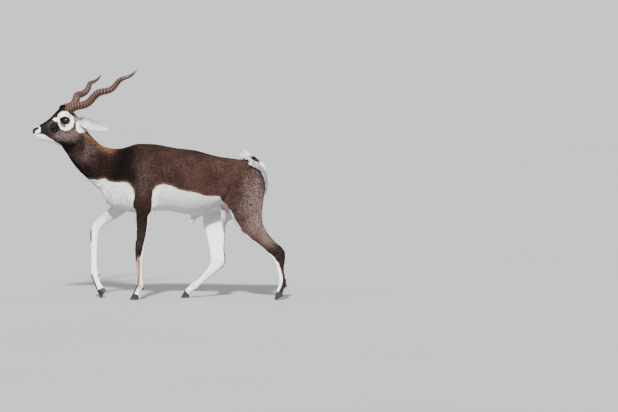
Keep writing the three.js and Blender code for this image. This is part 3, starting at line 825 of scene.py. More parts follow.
# %% Where each point of the skin lies
MM_PER_PIXEL = 5.0
TAIL = {"x": [516, 517, 506, 482, 452, 426, 406, 395], "z": [622, 644, 665, 688, 707, 718, 719, 716]}
points = read_points(skin_mesh)
normals = read_normals(skin_mesh)
fore, left, up = head_place(points)
on_head = smooth_step(-45, -15, fore) * smooth_step(700, 745, points[:, 2])
head_twin = head_point(fore, np.abs(left), up)
body_twin = points * [1, 0, 1] - np.abs(points) * [0, 1, 0]
twin = np.where((on_head > 0.5)[:, None], head_twin, body_twin)
px, py = picture_place(twin)
legs = leg_measures(points)
which, row, front, out = (legs[k] for k in ("which", "row", "front", "out"))
face = on_head > 0.3
fore_leg = np.isin(which, (0, 1))
hind_leg = np.isin(which, (2, 3))
any_leg = which >= 0
from_front = np.full(len(points), 99.0)
from_rear = np.full(len(points), 99.0)
for number in range(4):
    steps = np.arange(1.5, 14.5, 0.5)
    mine = which == number
    edges_here = np.full((2, len(steps)), np.nan)
    for k, step in enumerate(steps):
        slice_front = front[mine & (np.abs(row - step) < 0.3)]
        if len(slice_front) > 20:
            edges_here[:, k] = np.percentile(slice_front, [98.5, 1.5])
    known = ~np.isnan(edges_here[0])
    front_edge, rear_edge = (np.interp(row, steps[known], e[known]) for e in edges_here)
    from_front = np.where(mine, front_edge - front, from_front)
    from_rear = np.where(mine, front - rear_edge, from_rear)
tail_row, _, tail_away = along_line(points, TAIL["x"], TAIL["z"])
on_tail = (np.hypot(tail_away, points[:, 1]) < 19) & (points[:, 0] > 385)
on_tail &= points[:, 2] + 0.45 * (points[:, 0] - 516) > 648


def depth_in(outline):
    """How deep each point lies in an outline, in millimetres, below 0 outside it."""
    return inside(px, py, outline) * MM_PER_PIXEL


for word, chosen in (("head", face), ("legs", any_leg), ("tail", on_tail)):
    print(int(chosen.sum()), "points on the", word)

# %% White of the trunk and head
NOWHERE = -60.0
wander = 2.2 * np.sin(points[:, 0] / 23 + 1.3 * np.sin(points[:, 1] / 17))
wander = wander + 4.5 * np.cos(points[:, 1] / 13 + 0.4)
white = depth_in(BELLY) + wander
white = np.where(on_head > 0.5, NOWHERE, white)
for outline in (MUZZLE, NOSTRIL_BAND, EYE_RING, BROW_SPOT, EAR_PATCH):
    white = np.where(face, np.maximum(white, depth_in(outline)), white)
for outline in (EYE_DARK, LOWER_LID):
    white = np.where(face, np.minimum(white, -depth_in(outline)), white)
print("the deepest white on the trunk is", round(float(white.max())), "mm from its border")

# %% White of the legs, rump and tail
DARK_ENDS = 8.0
below_body = smooth_step(-0.4, 0.6, row - np.where(fore_leg, 2.6, 1.2)) * any_leg
knee_wrap = 8 * hump(row - 7.4, 0.6) * (front > 0)
fore_dark = np.minimum(out + 1.0 + knee_wrap, (DARK_ENDS - row) * 18 + 0.6 * front)
rear_strip = np.interp(row, [1.8, 2.4, 3.0, 3.6, 4.0, 5.0, 6.0, 7.0, 8.0], [-30, 6, 24, 17, 11, 7, 6, 8, 14])
front_strip = np.interp(row, [2.2, 3.0, 4.0, 6.0, 6.8], [-20, 2, 3, 2, -8])
fore_dark = np.minimum(fore_dark, np.minimum(from_rear - rear_strip, from_front - front_strip))
fore_white = -fore_dark
strip = np.interp(
    row, [0, 1.4, 2, 3, 4, 5, 6, 7, 8, 9, 10, 12, 14], [-40, -20, 4, 12, 13, 12, 10, 8, 10, 15, 17, 16, 8]
)
hind_white = np.maximum(strip - from_front, -(out + 0.25 * legs["wide"]))
rear_brown = np.interp(row, [4.0, 5.0, 8.0, 9.0, 10.0], [-8, 4, 6, 3, -8])
hind_white = np.minimum(hind_white, from_rear - rear_brown)
leg_white = np.where(fore_leg, fore_white, hind_white)
white = np.where(any_leg, white * (1 - below_body) + leg_white * below_body, white)
inner_thigh = (np.abs(points[:, 1]) < 52) & (points[:, 0] > 300) & (points[:, 2] < 560) & ~any_leg
white = np.where(inner_thigh, np.maximum(white, 30 - np.abs(points[:, 1])), white)
rump_strip = np.interp(points[:, 2], [400, 455, 520, 600, 660, 700], [-6, 16, 34, 44, 42, 26])
rump_strip = rump_strip - np.abs(points[:, 1])
rump_strip = np.where((points[:, 0] > 440) & (normals[:, 0] > 0.1), rump_strip, NOWHERE)
white = np.maximum(white, rump_strip)
white = np.where(on_tail, 10.0, white)
white = np.where(is_ear, np.where(ear_inner > 0.5, 6.0, (ear_along - 0.86) * 60), white)
white = np.where(face, np.minimum(white, -depth_in(EAR_BASE_TAN)), white)
print(int((white > 0).sum()), "points are white")

# %% Black of the head
black = np.full(len(points), NOWHERE)
nostril_dark = 9 * (1 - np.hypot((px - 35.7 + 0.3 * (py - 128.9)) / 4.7, (py - 128.9) / 2.4))
nostril_dark = np.minimum(nostril_dark, np.where(fore > 231, 9, np.abs(left) - 6))
nose_pad = 11 * (1 - np.hypot(left / 17, (up - 845) / 13)) - 0.8 * np.maximum(0, 237 - fore)
for spot in (depth_in(MASK), depth_in(GLAND), nostril_dark, nose_pad):
    black = np.where(face, np.maximum(black, spot), black)
mouth_line = 1.3 - np.abs(above_mouth(fore, up))
black = np.where(face & (fore > MOUTH[0, 0]), np.maximum(black, mouth_line), black)
black = np.where(face, np.maximum(black, depth_in(EYE_DARK) - 1.5), black)
throat = depth_in(NECK_FRONT) * (1 - on_head)
black = np.maximum(black, np.where(on_head < 0.5, 0.5 * throat - 6, NOWHERE))
print(int((black > 0).sum()), "points of the head and throat are black")

# %% Black of the tail, rump and legs
tail_back = 12 * (-0.5 * normals[:, 0] - 0.85 * normals[:, 2] - 0.25)
tail_line = 8 - np.abs(points[:, 1] + 3) - 30 * np.maximum(0, np.abs(tail_row - 2.7) - 0.55)
tail_back = np.maximum(tail_back, np.where(normals[:, 2] > 0.0, tail_line, NOWHERE))
white = np.where(on_tail & (normals[:, 2] > 0.0), np.minimum(white, -tail_line), white)
black = np.where(on_tail, np.where(tail_row < 6.2, tail_back, NOWHERE), black)
# A black line on the croup along the tail's root: painted shadow between the tail and the rump.
croup_shadow_line = 7 - np.abs(tail_away - 19) - 0.6 * np.maximum(0, np.abs(points[:, 1]) - 12)
near_croup = ~on_tail & (tail_row > 0.05) & (points[:, 0] > 400) & (points[:, 2] > 600)
black = np.maximum(black, np.where(near_croup, croup_shadow_line, NOWHERE))
near_rump = (points[:, 0] > 440) & (points[:, 2] > 540) & ~on_tail
black = np.maximum(black, np.where(near_rump, 4 - np.abs(rump_strip + 6), NOWHERE))
knee_black = np.minimum(fore_dark, np.minimum(11 - 22 * np.abs(row - 7.45), front + 12))
black = np.maximum(black, np.where(fore_leg, knee_black, NOWHERE))
pastern_stripe = 8 - np.abs(out - 1) - 0.2 * np.maximum(0, -front)
pastern_stripe = np.where(fore_leg & (row > 10.6) & (front > 0), pastern_stripe, NOWHERE)
black = np.maximum(black, np.where(any_leg, np.minimum(pastern_stripe, (13.2 - row) * 20), NOWHERE))
black = np.where(is_ear, NOWHERE, black)
pucker_ring = from_gland(fore, up)
# A thin ring inside the scent gland is held back from full black: a painted highlight on the gland's pucker.
gland_highlight_ring = (np.abs(pucker_ring - 7.5) < 1.6) & face
black = np.where(gland_highlight_ring, np.minimum(black, 0.5), black)
white = np.where(face, np.minimum(white, -np.maximum(nose_pad, nostril_dark)), white)
print(int((black > 0).sum()), "points are black")


# %% Soft patches
def patch(outline, soften):
    """How much of a soft-edged patch covers each point, from 0 to 1."""
    return smooth_step(-soften, soften, depth_in(outline))


nape = patch(NAPE, 14) * (1 - on_tail)
# Painted sheen: a paler grey-brown laid over the side of the neck, the shoulder, the thigh and the gaskin,
# where light catches the coat.
sheen = np.maximum(patch(NECK_SHEEN, 30) * 0.56, patch(THIGH_SHEEN, 60) * 0.86)
sheen = np.maximum(sheen, 0.2 * patch(SHOULDER_SHEEN, 28))
behind = -front / np.maximum(legs["deep"], 1)
gaskin_sheen = smooth_step(2.2, 3.6, row) * smooth_step(7.6, 6.4, row) * smooth_step(-0.5, 0.4, behind)
sheen = np.maximum(sheen * (1 - on_head), np.where(hind_leg, gaskin_sheen * 0.5, 0))
# The cheek gets painted sheen as well; the patch below the eye is the coat's own grey-brown.
sheen = np.maximum(sheen, 0.62 * patch(CHEEK, 14) * face)
sheen = np.maximum(sheen, 0.7 * patch(LOWER_LID, 5) * face)
gland_edge = depth_in(GLAND)
gland_rim = smooth_step(-11, -4, gland_edge) * smooth_step(2, -2, gland_edge)
# Painted highlight on the ring in the gland, and a paler rim of hair round it.
sheen = np.maximum(sheen, np.maximum(0.2 * gland_highlight_ring, 0.3 * gland_rim * face))
tan = patch(EAR_TAN, 10) * face
tan = np.maximum(tan, np.where(is_ear, smooth_step(0.9, 0.1, ear_along) * 0.8, 0))
print("sheen reaches", round(float(sheen.max()), 2), "and tan", round(float(tan.max()), 2))

# %% Lines and shades of the legs
cannon_tan = smooth_step(7.7, 8.2, row) * smooth_step(12.6, 11, row) * smooth_step(-7, 2, out)
cannon_tan = np.where(fore_leg, cannon_tan, 0)
line_place = np.interp(row, [7.8, 9.0, 10.4, 11.2, 13], [17, 15, 10, 4, 3])
brown_line = smooth_step(5.0, 1.5, np.abs(from_front - line_place)) * smooth_step(0, 4, out)
brown_line *= 0.85 * smooth_step(7.8, 8.3, row) * smooth_step(13.2, 12.4, row)
at_knee = smooth_step(6.9, 7.2, row) * smooth_step(8.4, 8.1, row)
at_fetlock = smooth_step(10.7, 11.1, row) * smooth_step(13.2, 12.8, row)
front_edge_line = smooth_step(10.0, 6.5, from_front) * np.maximum(at_knee, at_fetlock)
brown_line = np.where(fore_leg, np.maximum(brown_line, 0.95 * front_edge_line), 0)
fawn = np.where(any_leg, 0.95 * cannon_tan * smooth_step(7, 12, from_rear), 0)
warmth = 0.6 * smooth_step(129, 142, px) + 0.4 * smooth_step(150, 185, px)
on_back = 0.6 * smooth_step(0.6, 0.97, normals[:, 2]) * smooth_step(235, 195, px) * smooth_step(128, 140, px)
warmth *= 1 - on_back
warmth *= np.where(which < 2, 0.25 + 0.75 * smooth_step(440, 520, points[:, 2]), 1)
gloom = smooth_step(109, 118, px) * smooth_step(137, 128, px) * (py < 190) * (on_head < 0.5)
gloom = np.maximum(gloom, patch(NECK_FRONT, 12) * (1 - on_head))
# The patch under the jaw is painted shade; the side of the face is darkened as its own dark brown.
gloom = np.maximum(gloom, np.maximum(0.8 * patch(JAW_SHADE, 14), 0.7 * patch(FACE_SIDE, 10)))
gloom = np.maximum(gloom, np.where(fore_leg, 0.45 * smooth_step(520, 430, points[:, 2]), 0))
hock_dark = smooth_step(5.9, 7.3, row) * smooth_step(10.5, 9, row)
shank_back = smooth_step(18, 8, from_rear) * smooth_step(5.0, 6.2, row) * smooth_step(11, 9, row)
hock_dark = np.maximum(0.72 * hock_dark, shank_back)
gloom = np.maximum(gloom, np.where(hind_leg, hock_dark, 0))
warmth *= np.where(hind_leg, 1 - 0.65 * smooth_step(5.8, 7.4, row), 1)
fringe = smooth_step(-15, -4, white) * (1 - on_head) * (points[:, 2] > 430) * (np.abs(normals[:, 1]) > 0.2)
fringe *= np.where((points[:, 0] > 440) | (any_leg & (row > 2.3)), 0, 1)
print("the fringe along the belly has", int((fringe > 0.5).sum()), "points")

# %% Bare skin and the scrotum
nose_bare = np.maximum(nose_pad, nostril_dark)
rim = np.full(len(points), NOWHERE)
for side, _ in SIDES:
    gap, radius, facing, _ = lid_gap(points, side)
    rim = np.where((radius < 30) & (facing > 0.1), np.maximum(rim, 2.2 - gap), rim)
pucker = 4.0 - pucker_ring
bare = np.where(face & ~is_ear, np.maximum(np.maximum(nose_bare, rim), pucker), NOWHERE)
SCROTUM = {"middle": np.array([322, 0, 410]), "half": np.array([30, 30, 44])}
scrotum = np.linalg.norm((points - SCROTUM["middle"]) / SCROTUM["half"], axis=1)
white = np.where((scrotum < 1.25) & ~any_leg, 20, white)
fawn = np.maximum(fawn, 0.35 * smooth_step(1.4, 1.2, scrotum) * ~any_leg)
inner_fawn = 0.14 + 0.16 * smooth_step(0.6, 0.1, ear_along)
fawn = np.maximum(fawn, np.where(is_ear & (ear_inner > 0.5), inner_fawn, 0))
print(int((bare > 0).sum()), "points are bare")

# %% The numbers kept on the skin
SOFTENING = 22
fields = {
    "white": white,
    "black": black,
    "nape": nape,
    "sheen": sheen,
    "tan": tan,
    "warmth": warmth,
    "fringe": fringe,
    "fawn": fawn,
    "brown_line": brown_line,
    "gloom": gloom,
    "bare": bare,
}
edges = read_edges(skin_mesh)
degree = edges_at(edges, len(points))
soft_names = ("nape", "sheen", "warmth", "gloom", "tan", "fawn")
soft = np.stack([fields[name] for name in soft_names], 1)
for _ in range(SOFTENING):
    soft = 0.45 * soft + 0.55 * neighbour_mean(soft, edges, degree)
fields.update(zip(soft_names, soft.T))
nape = fields["nape"]
print({k: (round(float(v.min()), 1), round(float(v.max()), 1)) for k, v in fields.items()})

# %% [markdown]
# Hair lies back from the nose, down the neck, back and down along the barrel and down the legs. That
# direction is stored for each point, and smoothed over the skin so that the tufts turn gradually from one
# region to the next.

# %% The lie of the coat
LIE_ROUNDS = 14
lie = np.tile([1.0, 0.0, -0.28], (len(points), 1))
neck_share = smooth_step(-190, -300, points[:, 0]) * (1 - on_head)
lie = lie * (1 - neck_share[:, None]) + neck_share[:, None] * np.array([0.62, 0, -0.78])
back_of_head = -FORE * 0.97 - UP * 0.2
lie = lie * (1 - on_head[:, None]) + on_head[:, None] * back_of_head


def line_direction(line, row):
    """The direction of a line seen from the side, at each row along it."""
    xs, zs = np.array(line["x"], float), np.array(line["z"], float)
    index = np.clip(row.astype(int), 0, len(xs) - 2)
    return units(np.stack([xs[index + 1] - xs[index], 0 * index, zs[index + 1] - zs[index]], 1))


for number, leg in enumerate(LEGS.values()):
    share = np.where(which == number, smooth_step(0.5, 3.0, row), 0)[:, None]
    lie = lie * (1 - share) + share * line_direction(leg, row)
lie = np.where(on_tail[:, None], line_direction(TAIL, tail_row), lie)
for side, _ in SIDES:
    mine = is_ear & (left * side > 0)
    lie = np.where(mine[:, None], head_direction(EAR_ALONG[0], side * EAR_ALONG[1], EAR_ALONG[2]), lie)
for _ in range(LIE_ROUNDS):
    lie = 0.4 * lie + 0.6 * neighbour_mean(lie, edges, degree)
lie -= np.sum(lie * normals, axis=1)[:, None] * normals
lie /= np.maximum(1e-6, np.linalg.norm(lie, axis=1))[:, None]


def store(mesh, name, values):
    """Keeps one number for each point of a mesh."""
    mesh.attributes.new(name, "FLOAT", "POINT").data.foreach_set("value", np.asarray(values, np.float32))


for name, values in fields.items():
    store(skin_mesh, name, values)
store(skin_mesh, "tone", np.full(len(points), 0.5))
skin_mesh.shade_smooth()
print(len(fields) + 1, "numbers kept on each point of the skin")

# %% [markdown]
# All hair is made as small closed blades, four triangles each, lying along the coat and overlapping like
# thatch. They are sampled over the skin by area, shortest on the face and lower legs and longest on the
# tail and rump, with longer tufts too on the nape, the forelock and the sheath. Real hair curves would be
# finer, but they don't survive as a mesh. Each blade takes the skin's own numbers where it is rooted, so
# that it carries the same marking.


# %% Sampling the skin
def triangles_of(mesh):
    """The corners of a mesh's triangles."""
    mesh.calc_loop_triangles()
    corners = np.empty(len(mesh.loop_triangles) * 3, int)
    mesh.loop_triangles.foreach_get("vertices", corners)
    return corners.reshape(-1, 3)


corners = triangles_of(skin_mesh)
tri = points[corners]
area = np.linalg.norm(np.cross(tri[:, 1] - tri[:, 0], tri[:, 2] - tri[:, 0]), axis=1) / 2
middle_z = tri[:, :, 2].mean(1)
facing_out = np.ones(len(corners), bool)
for side, _ in SIDES:
    gap, radius, facing, _ = lid_gap(tri.mean(1), side)
    facing_out &= ~((gap < 0.8) & (radius < 30) & (facing > 0.05))
    facing_out &= ~(radius < EYE_RADIUS + 0.2)
tri_fore, tri_left, tri_up = head_place(tri.mean(1))
from_base = np.stack([tri_fore, np.abs(tri_left), tri_up], 1) - HORN_BASE
above_base = from_base @ HORN_ALONG
horn_foot = np.linalg.norm(from_base - above_base[:, None] * HORN_ALONG, axis=1) < 24
facing_out &= ~(horn_foot & (above_base > -3))
facing_out &= bare[corners].mean(1) < -0.5
tri_legs = leg_measures(tri.mean(1))
hoof_starts = np.where(tri_legs["which"] < 2, 12.95, 13.95)
facing_out &= ~((tri_legs["row"] > hoof_starts) & (tri_legs["which"] >= 0))
facing_out &= middle_z > 26
print("skin area", round(area.sum() / 1e6, 2), "square metres,", len(corners), "triangles")

# %% Length, width and density of the hair
legs_share = smooth_step(430, 340, points[:, 2])
from_sheath = np.hypot(points[:, 0] - 155, points[:, 2] - 385)
long_hair = {
    "tail": np.where(on_tail, smooth_step(1.5, 6.5, tail_row), 0),
    "nape": nape,
    "sheath": smooth_step(24, 10, from_sheath) * (np.abs(points[:, 1]) < 25),
    "forelock": np.exp(-(((fore - 77) / 18) ** 2) - (left / 16) ** 2) * smooth_step(944, 955, up),
    "ear fringe": np.where(is_ear & (ear_inner > 0.5), 0.6, 0),
    "rump": smooth_step(-8, 4, rump_strip) * smooth_step(440, 500, points[:, 2]),
}
hair_length = 13 - 7.5 * on_head - 6.5 * legs_share * (1 - on_head)
hair_length -= 1.5 * on_head * smooth_step(120, 220, fore)
hair_length = np.where(is_ear, 6.0, hair_length)
hair_length += 18 * long_hair["tail"] + 5 * long_hair["nape"] + 8 * long_hair["sheath"]
hair_length += 7 * long_hair["forelock"] + 3 * long_hair["ear fringe"] + 13 * long_hair["rump"]
hair_length += 4.5 * smooth_step(-0.7, -0.2, row - np.where(fore_leg, 13, 14)) * any_leg
hair_raise = 1 + 1.2 * (1 - on_head) * (1 - legs_share)
for kind, more in (("rump", 3.0), ("tail", 0.8), ("forelock", 0.8)):
    hair_raise = hair_raise + more * long_hair[kind]
hair_width = 0.75 + 0.085 * hair_length
spacing = 0.95 + 0.083 * np.minimum(hair_length, 17)
density = 1 / spacing**2
print("hair of", round(float(hair_length.min()), 1), "to", round(float(hair_length.max()), 1), "mm")

# %% Unwrapping the skin by parts
part = np.zeros(len(points), int)
part[on_head > 0.5] = 1
part[which >= 0] = 2 + which[which >= 0]
part[(part == 0) & (points[:, 0] < -230)] = 6
part[on_tail] = 7
part[is_ear & (left > 0)] = 8
part[is_ear & (left < 0)] = 9


def flat_places(places, directions, part_numbers):
    """Lays the skin out flat: each part in six views along its own axes, each in a field of its own."""
    main = np.abs(directions).argmax(1)
    view = main * 2 + (directions[np.arange(len(main)), main] > 0)
    cell = part_numbers * 6 + view
    first = np.where(main == 0, places[:, 1], places[:, 0])
    second = np.where(main == 2, places[:, 1], places[:, 2])
    flat = np.zeros((len(places), 2))
    x = y = shelf = 0.0
    shelf_length = 2600.0
    for number in np.unique(cell):
        mine = cell == number
        low = np.array([first[mine].min(), second[mine].min()])
        size = np.array([first[mine].max(), second[mine].max()]) - low + 12
        if x + size[0] > shelf_length:
            x, y, shelf = 0.0, y + shelf, 0.0
        flat[mine] = np.stack([first[mine], second[mine]], 1) - low + [x + 6, y + 6]
        x += size[0]
        shelf = max(shelf, size[1])
    return flat / max(shelf_length, y + shelf)


print(len(np.unique(part)), "parts of the skin, each laid out in six views")

# %% Growing the tufts
def grow():
    """A blade at each sample: its four points, its numbers and its place in the flat layout."""
    wanted = area * density[corners].mean(1) * facing_out
    ends = np.cumsum(wanted)
    count = int(ends[-1])
    chosen = np.searchsorted(ends, (np.arange(count) + rng.random(count)) * ends[-1] / count)
    chosen = np.minimum(chosen, len(corners) - 1)
    a, b = rng.random(count), rng.random(count)
    flip = a + b > 1
    a[flip], b[flip] = 1 - a[flip], 1 - b[flip]
    weights = np.stack([1 - a - b, a, b], 1)
    ids = corners[chosen]

    def blend(values):
        return np.einsum("ij,ij...->i...", weights, values[ids])

    root, normal, direction = blend(points), blend(normals), blend(lie)
    normal = units(normal)
    length = blend(hair_length) * rng.uniform(0.75, 1.2, count)
    width = blend(hair_width) * rng.uniform(0.8, 1.2, count)
    direction += rng.normal(0, 0.10, (count, 3))
    direction -= np.sum(direction * normal, axis=1)[:, None] * normal
    direction = units(direction)
    across = np.cross(normal, direction)
    raised = 0.6 * blend(hair_raise) * rng.uniform(0.5, 1.4, count) * (0.35 + 0.05 * length)
    sunk = root - 0.5 * normal
    blade = np.stack(
        [
            sunk - 0.5 * width[:, None] * across,
            sunk + 0.5 * width[:, None] * across,
            sunk + (0.85 + 0.03 * length)[:, None] * normal - 0.1 * length[:, None] * direction,
            root + length[:, None] * direction + raised[:, None] * normal,
        ],
        1,
    )
    numbers = {name: np.repeat(blend(values), 4) for name, values in fields.items()}
    numbers["tone"] = np.repeat(rng.random(count), 4)
    flat = flat_places(root, normal, part[ids[:, 0]])
    return blade, numbers, flat


BLADE_FACES = np.array([(0, 3, 2), (1, 2, 3), (0, 1, 3), (0, 2, 1)])
PATCH = np.array([(-0.5, -0.5), (0.5, -0.5), (0.0, -0.1), (0.0, 0.5)]) * 0.003
BLADES_PER_PIECE = 48000


def coat_piece(name, blade, numbers, flat):
    """One mesh of blades with its numbers and its OFBake map."""
    count = len(blade)
    mesh = bpy.data.meshes.new(name)
    faces = (np.arange(count)[:, None, None] * 4 + BLADE_FACES).reshape(-1, 3)
    mesh.vertices.add(count * 4)
    mesh.vertices.foreach_set("co", to_frame(blade.reshape(-1, 3)).ravel())
    mesh.loops.add(len(faces) * 3)
    mesh.loops.foreach_set("vertex_index", faces.ravel())
    mesh.polygons.add(len(faces))
    mesh.polygons.foreach_set("loop_start", np.arange(len(faces)) * 3)
    mesh.update(calc_edges=True)
    for key, values in numbers.items():
        store(mesh, key, values)
    bake = mesh.uv_layers.new(name="OFBake")
    places = flat[:, None, :] + PATCH
    bake.data.foreach_set("uv", places.reshape(-1, 2)[faces.ravel()].ravel())
    piece = bpy.data.objects.new(name, mesh)
    bpy.context.scene.collection.objects.link(piece)
    return piece


blade, numbers, flat = grow()
order = np.argsort(blade[:, 0, 0], kind="stable")
coat = []
for number, start in enumerate(range(0, len(order), BLADES_PER_PIECE)):
    mine = order[start : start + BLADES_PER_PIECE]
    picked = (mine[:, None] * 4 + np.arange(4)).ravel()
    coat.append(
        coat_piece(f"coat_{number + 1}", blade[mine], {k: v[picked] for k, v in numbers.items()}, flat[mine])
    )
print(len(order), "tufts in", len(coat), "pieces")

# %% [markdown]
# The horns are open corkscrews with about thirty rings, which are thick ridges that rise slowly and fall
# off steeply towards the tip. They fade out over the last fifth, which is smooth and dark. The surface is
# swept along the frame's corkscrew, because a plain screw modifier has no taper and no bow.

# %% Horns
HORN_DIAMETER = 40.0
HORN_BOW = {"out": 22, "down": 6}
HORN_COIL = 10.5
HORN_TURNS = {"start": -0.614, "steady": 2.124, "tightening": 0.804}
HORN_STEPS = 460
HORN_SIDES = 30
HORN_RING = 12.0
HORN_CREST = 0.62
HORN_RIDGE = 4.4
HORN_GROOVE = 2.5


def horn_surface(side):
    """Rings of points along a horn, with how far along each lies and how deep in a groove."""
    below = np.array([-1, 0, -1.6])
    below = unit(below - (below @ HORN_ALONG) * HORN_ALONG)
    inward = np.cross(HORN_ALONG, below)
    t = np.linspace(-0.05, 1, HORN_STEPS)
    safe = np.clip(t, 0, 1)
    turned = HORN_TURNS["start"] + HORN_TURNS["steady"] * safe + HORN_TURNS["tightening"] * safe**2
    turns = 2 * np.pi * turned
    reach = HORN_COIL * smooth_step(0, 0.2, safe) * (1 - safe) ** 0.31
    bow = 4 * safe * (1 - safe)
    line = HORN_BASE + np.outer(t, HORN_CHORD)
    line += np.outer(reach * np.cos(turns) + bow * HORN_BOW["down"], below)
    line += np.outer(reach * np.sin(turns) - bow * HORN_BOW["out"], inward)
    travel = np.concatenate([[0], np.cumsum(np.linalg.norm(np.diff(line, axis=0), axis=1))])
    along = units(np.gradient(line, axis=0))
    across = units(below - (along @ below)[:, None] * along)
    third = np.cross(across, along)
    flare = (1 + 0.07 * np.exp(-safe / 0.04)) * (1 - 0.7 * smooth_step(0.005, -0.05, t))
    radius = np.maximum(0.9, HORN_DIAMETER / 2 * (1 - safe**2.2) ** 0.65 * flare)
    angle = np.linspace(0, 2 * np.pi, HORN_SIDES, endpoint=False)
    spacing = HORN_RING * (1 + 0.3 * safe)
    wobble = 0.16 * np.sin(angle + 1.0) + 0.06 * np.sin(3 * angle)
    phase = np.cumsum(np.gradient(travel) / spacing)[:, None] + wobble[None, :]
    saw = phase % 1
    ridge = np.where(saw < HORN_CREST, smooth_step(0, HORN_CREST, saw), smooth_step(1, HORN_CREST, saw))
    fade = smooth_step(0.88, 0.74, safe) * smooth_step(-0.05, -0.03, t)
    strength = (fade * (1 - 0.45 * safe))[:, None] * (0.75 + 0.25 * np.cos(angle - 2.2))
    height = (HORN_RIDGE * ridge - HORN_GROOVE) * strength
    size = radius[:, None] + height
    outward = np.cos(angle)[None, :, None] * across[:, None, :]
    outward = outward + np.sin(angle)[None, :, None] * third[:, None, :]
    rings = line[:, None, :] + size[..., None] * outward
    rings[..., 1] *= side
    placed = head_point(*rings.reshape(-1, 3).T).reshape(rings.shape)
    return placed, np.tile(safe[:, None], HORN_SIDES), (1 - ridge) * fade[:, None]


horns = []
for side, word in SIDES:
    rings, horn_along, horn_groove = horn_surface(side)
    bm = bmesh.new()
    sweep(bm, rings, along=horn_along, groove=horn_groove)
    bmesh.ops.recalc_face_normals(bm, faces=bm.faces)
    mesh = new_mesh(f"horn_sheath_{word}", bm)
    mesh.shade_smooth()
    horn = bpy.data.objects.new(f"horn_sheath_{word}", mesh)
    bpy.context.scene.collection.objects.link(horn)
    horns.append(horn)
    print(horn.name, len(mesh.polygons), "faces")

# %% [markdown]
# The eyes are large, dark and wet, with a level oblong pupil. Each eyeball is a UV sphere in the frame's
# own eye, with the clear front swollen a little. How far each point lies from the pupil is stored on it.

# %% Eyes
eyes = []
for side, word in SIDES:
    out, level, _ = eye_axes(side)
    bm = bmesh.new()
    bmesh.ops.create_uvsphere(bm, u_segments=56, v_segments=40, radius=1.0)
    ball = np.array([v.co for v in bm.verts])
    swell = EYE_RADIUS * (0.985 + 0.03 * smooth_step(0.75, 1, ball[:, 2]))
    turned = ball[:, :1] * level + ball[:, 1:2] * np.cross(out, level) + ball[:, 2:] * out
    placed = eye_centre(side) + swell[:, None] * turned
    for v, p in zip(bm.verts, to_frame(placed)):
        v.co = p
    bmesh.ops.recalc_face_normals(bm, faces=bm.faces)
    mesh = new_mesh(f"eyeball_{word}", bm)
    level_part, high_part = ball[:, 0], ball[:, 1]
    pupil = 1 - np.hypot(level_part / 0.42, high_part / 0.22)
    iris = 0.78 - np.hypot(level_part, high_part)
    store(mesh, "pupil", np.where(ball[:, 2] > 0, pupil, -1))
    store(mesh, "iris", np.where(ball[:, 2] > 0, iris, -1))
    mesh.shade_smooth()
    eye = bpy.data.objects.new(f"eyeball_{word}", mesh)
    bpy.context.scene.collection.objects.link(eye)
    eyes.append(eye)
    print(eye.name, len(mesh.polygons), "faces")

# %% [markdown]
# Each foot has two claws with black walls and two small dewclaws behind. They start from copies of the
# frame's pieces, remade in squares of about a millimetre and smoothed, with the soles kept flat on the
# floor.

# %% Hooves
CLAW_SQUARE = 0.0014
DEWCLAW_SQUARE = 0.001
hooves = []
for name in (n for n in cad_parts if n.startswith(("claw", "dewclaw"))):
    is_claw = name.startswith("claw")
    copied = new_mesh("copy", copy_nodes([name], swell=0.0))
    mesh = remesh([copied], CLAW_SQUARE if is_claw else DEWCLAW_SQUARE)
    smooth_mesh(mesh, np.full(len(mesh.vertices), 0.9), 12)
    hoof_points = read_points(mesh)
    height = hoof_points[:, 2]
    if is_claw:
        hoof_points[:, 2] = np.where(height < 1.6, np.maximum(0, height - 0.9), height)
    write_points(mesh, hoof_points)
    mesh.shade_smooth()
    hoof = bpy.data.objects.new("hoof_" + name, mesh)
    bpy.context.scene.collection.objects.link(hoof)
    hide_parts(name)
    hooves.append(hoof)
print(len(hooves), "claws and dewclaws,", sum(len(h.data.polygons) for h in hooves), "faces")


# %% [markdown]
# Every finish is procedural. A small kit keeps the node code short: it adds a node, sets its inputs and
# links what it is given. One group, the mottle, is shared by all of them: it puts out a broad and a fine
# noise.


# %% Material kit
def add_node(tree, kind, settings=None, **inputs):
    """Adds a node. An input's name has underscores for spaces, and _N picks an input by number."""
    node = tree.nodes.new(kind)
    for key, value in (settings or {}).items():
        setattr(node, key, value)
    for key, value in inputs.items():
        socket = node.inputs[int(key[1:]) if key[1:].isdigit() else key.replace("_", " ")]
        if isinstance(value, bpy.types.NodeSocket):
            tree.links.new(value, socket)
        else:
            socket.default_value = value
    return node


def number_of(tree, name):
    """A number kept on the piece's points."""
    return add_node(tree, "ShaderNodeAttribute", {"attribute_name": name}).outputs["Fac"]


def maths(tree, operation, a, b=0.0, clamp=False):
    node = add_node(tree, "ShaderNodeMath", {"operation": operation, "use_clamp": clamp}, _0=a, _1=b)
    return node.outputs[0]


def between(tree, value, low, high, to_low=0.0, to_high=1.0):
    """Takes a value from one range smoothly to another, and no further."""
    node = add_node(
        tree,
        "ShaderNodeMapRange",
        {"interpolation_type": "SMOOTHSTEP"},
        Value=value,
        From_Min=low,
        From_Max=high,
        To_Min=to_low,
        To_Max=to_high,
    )
    return node.outputs[0]


def mix(tree, share, a, b):
    """Mixes two colours."""
    node = tree.nodes.new("ShaderNodeMix")
    node.data_type = "RGBA"
    for index, value in ((0, share), (6, a), (7, b)):
        if isinstance(value, bpy.types.NodeSocket):
            tree.links.new(value, node.inputs[index])
        else:
            node.inputs[index].default_value = value
    return node.outputs[2]


def paint(r, g, b):
    return (r, g, b, 1.0)


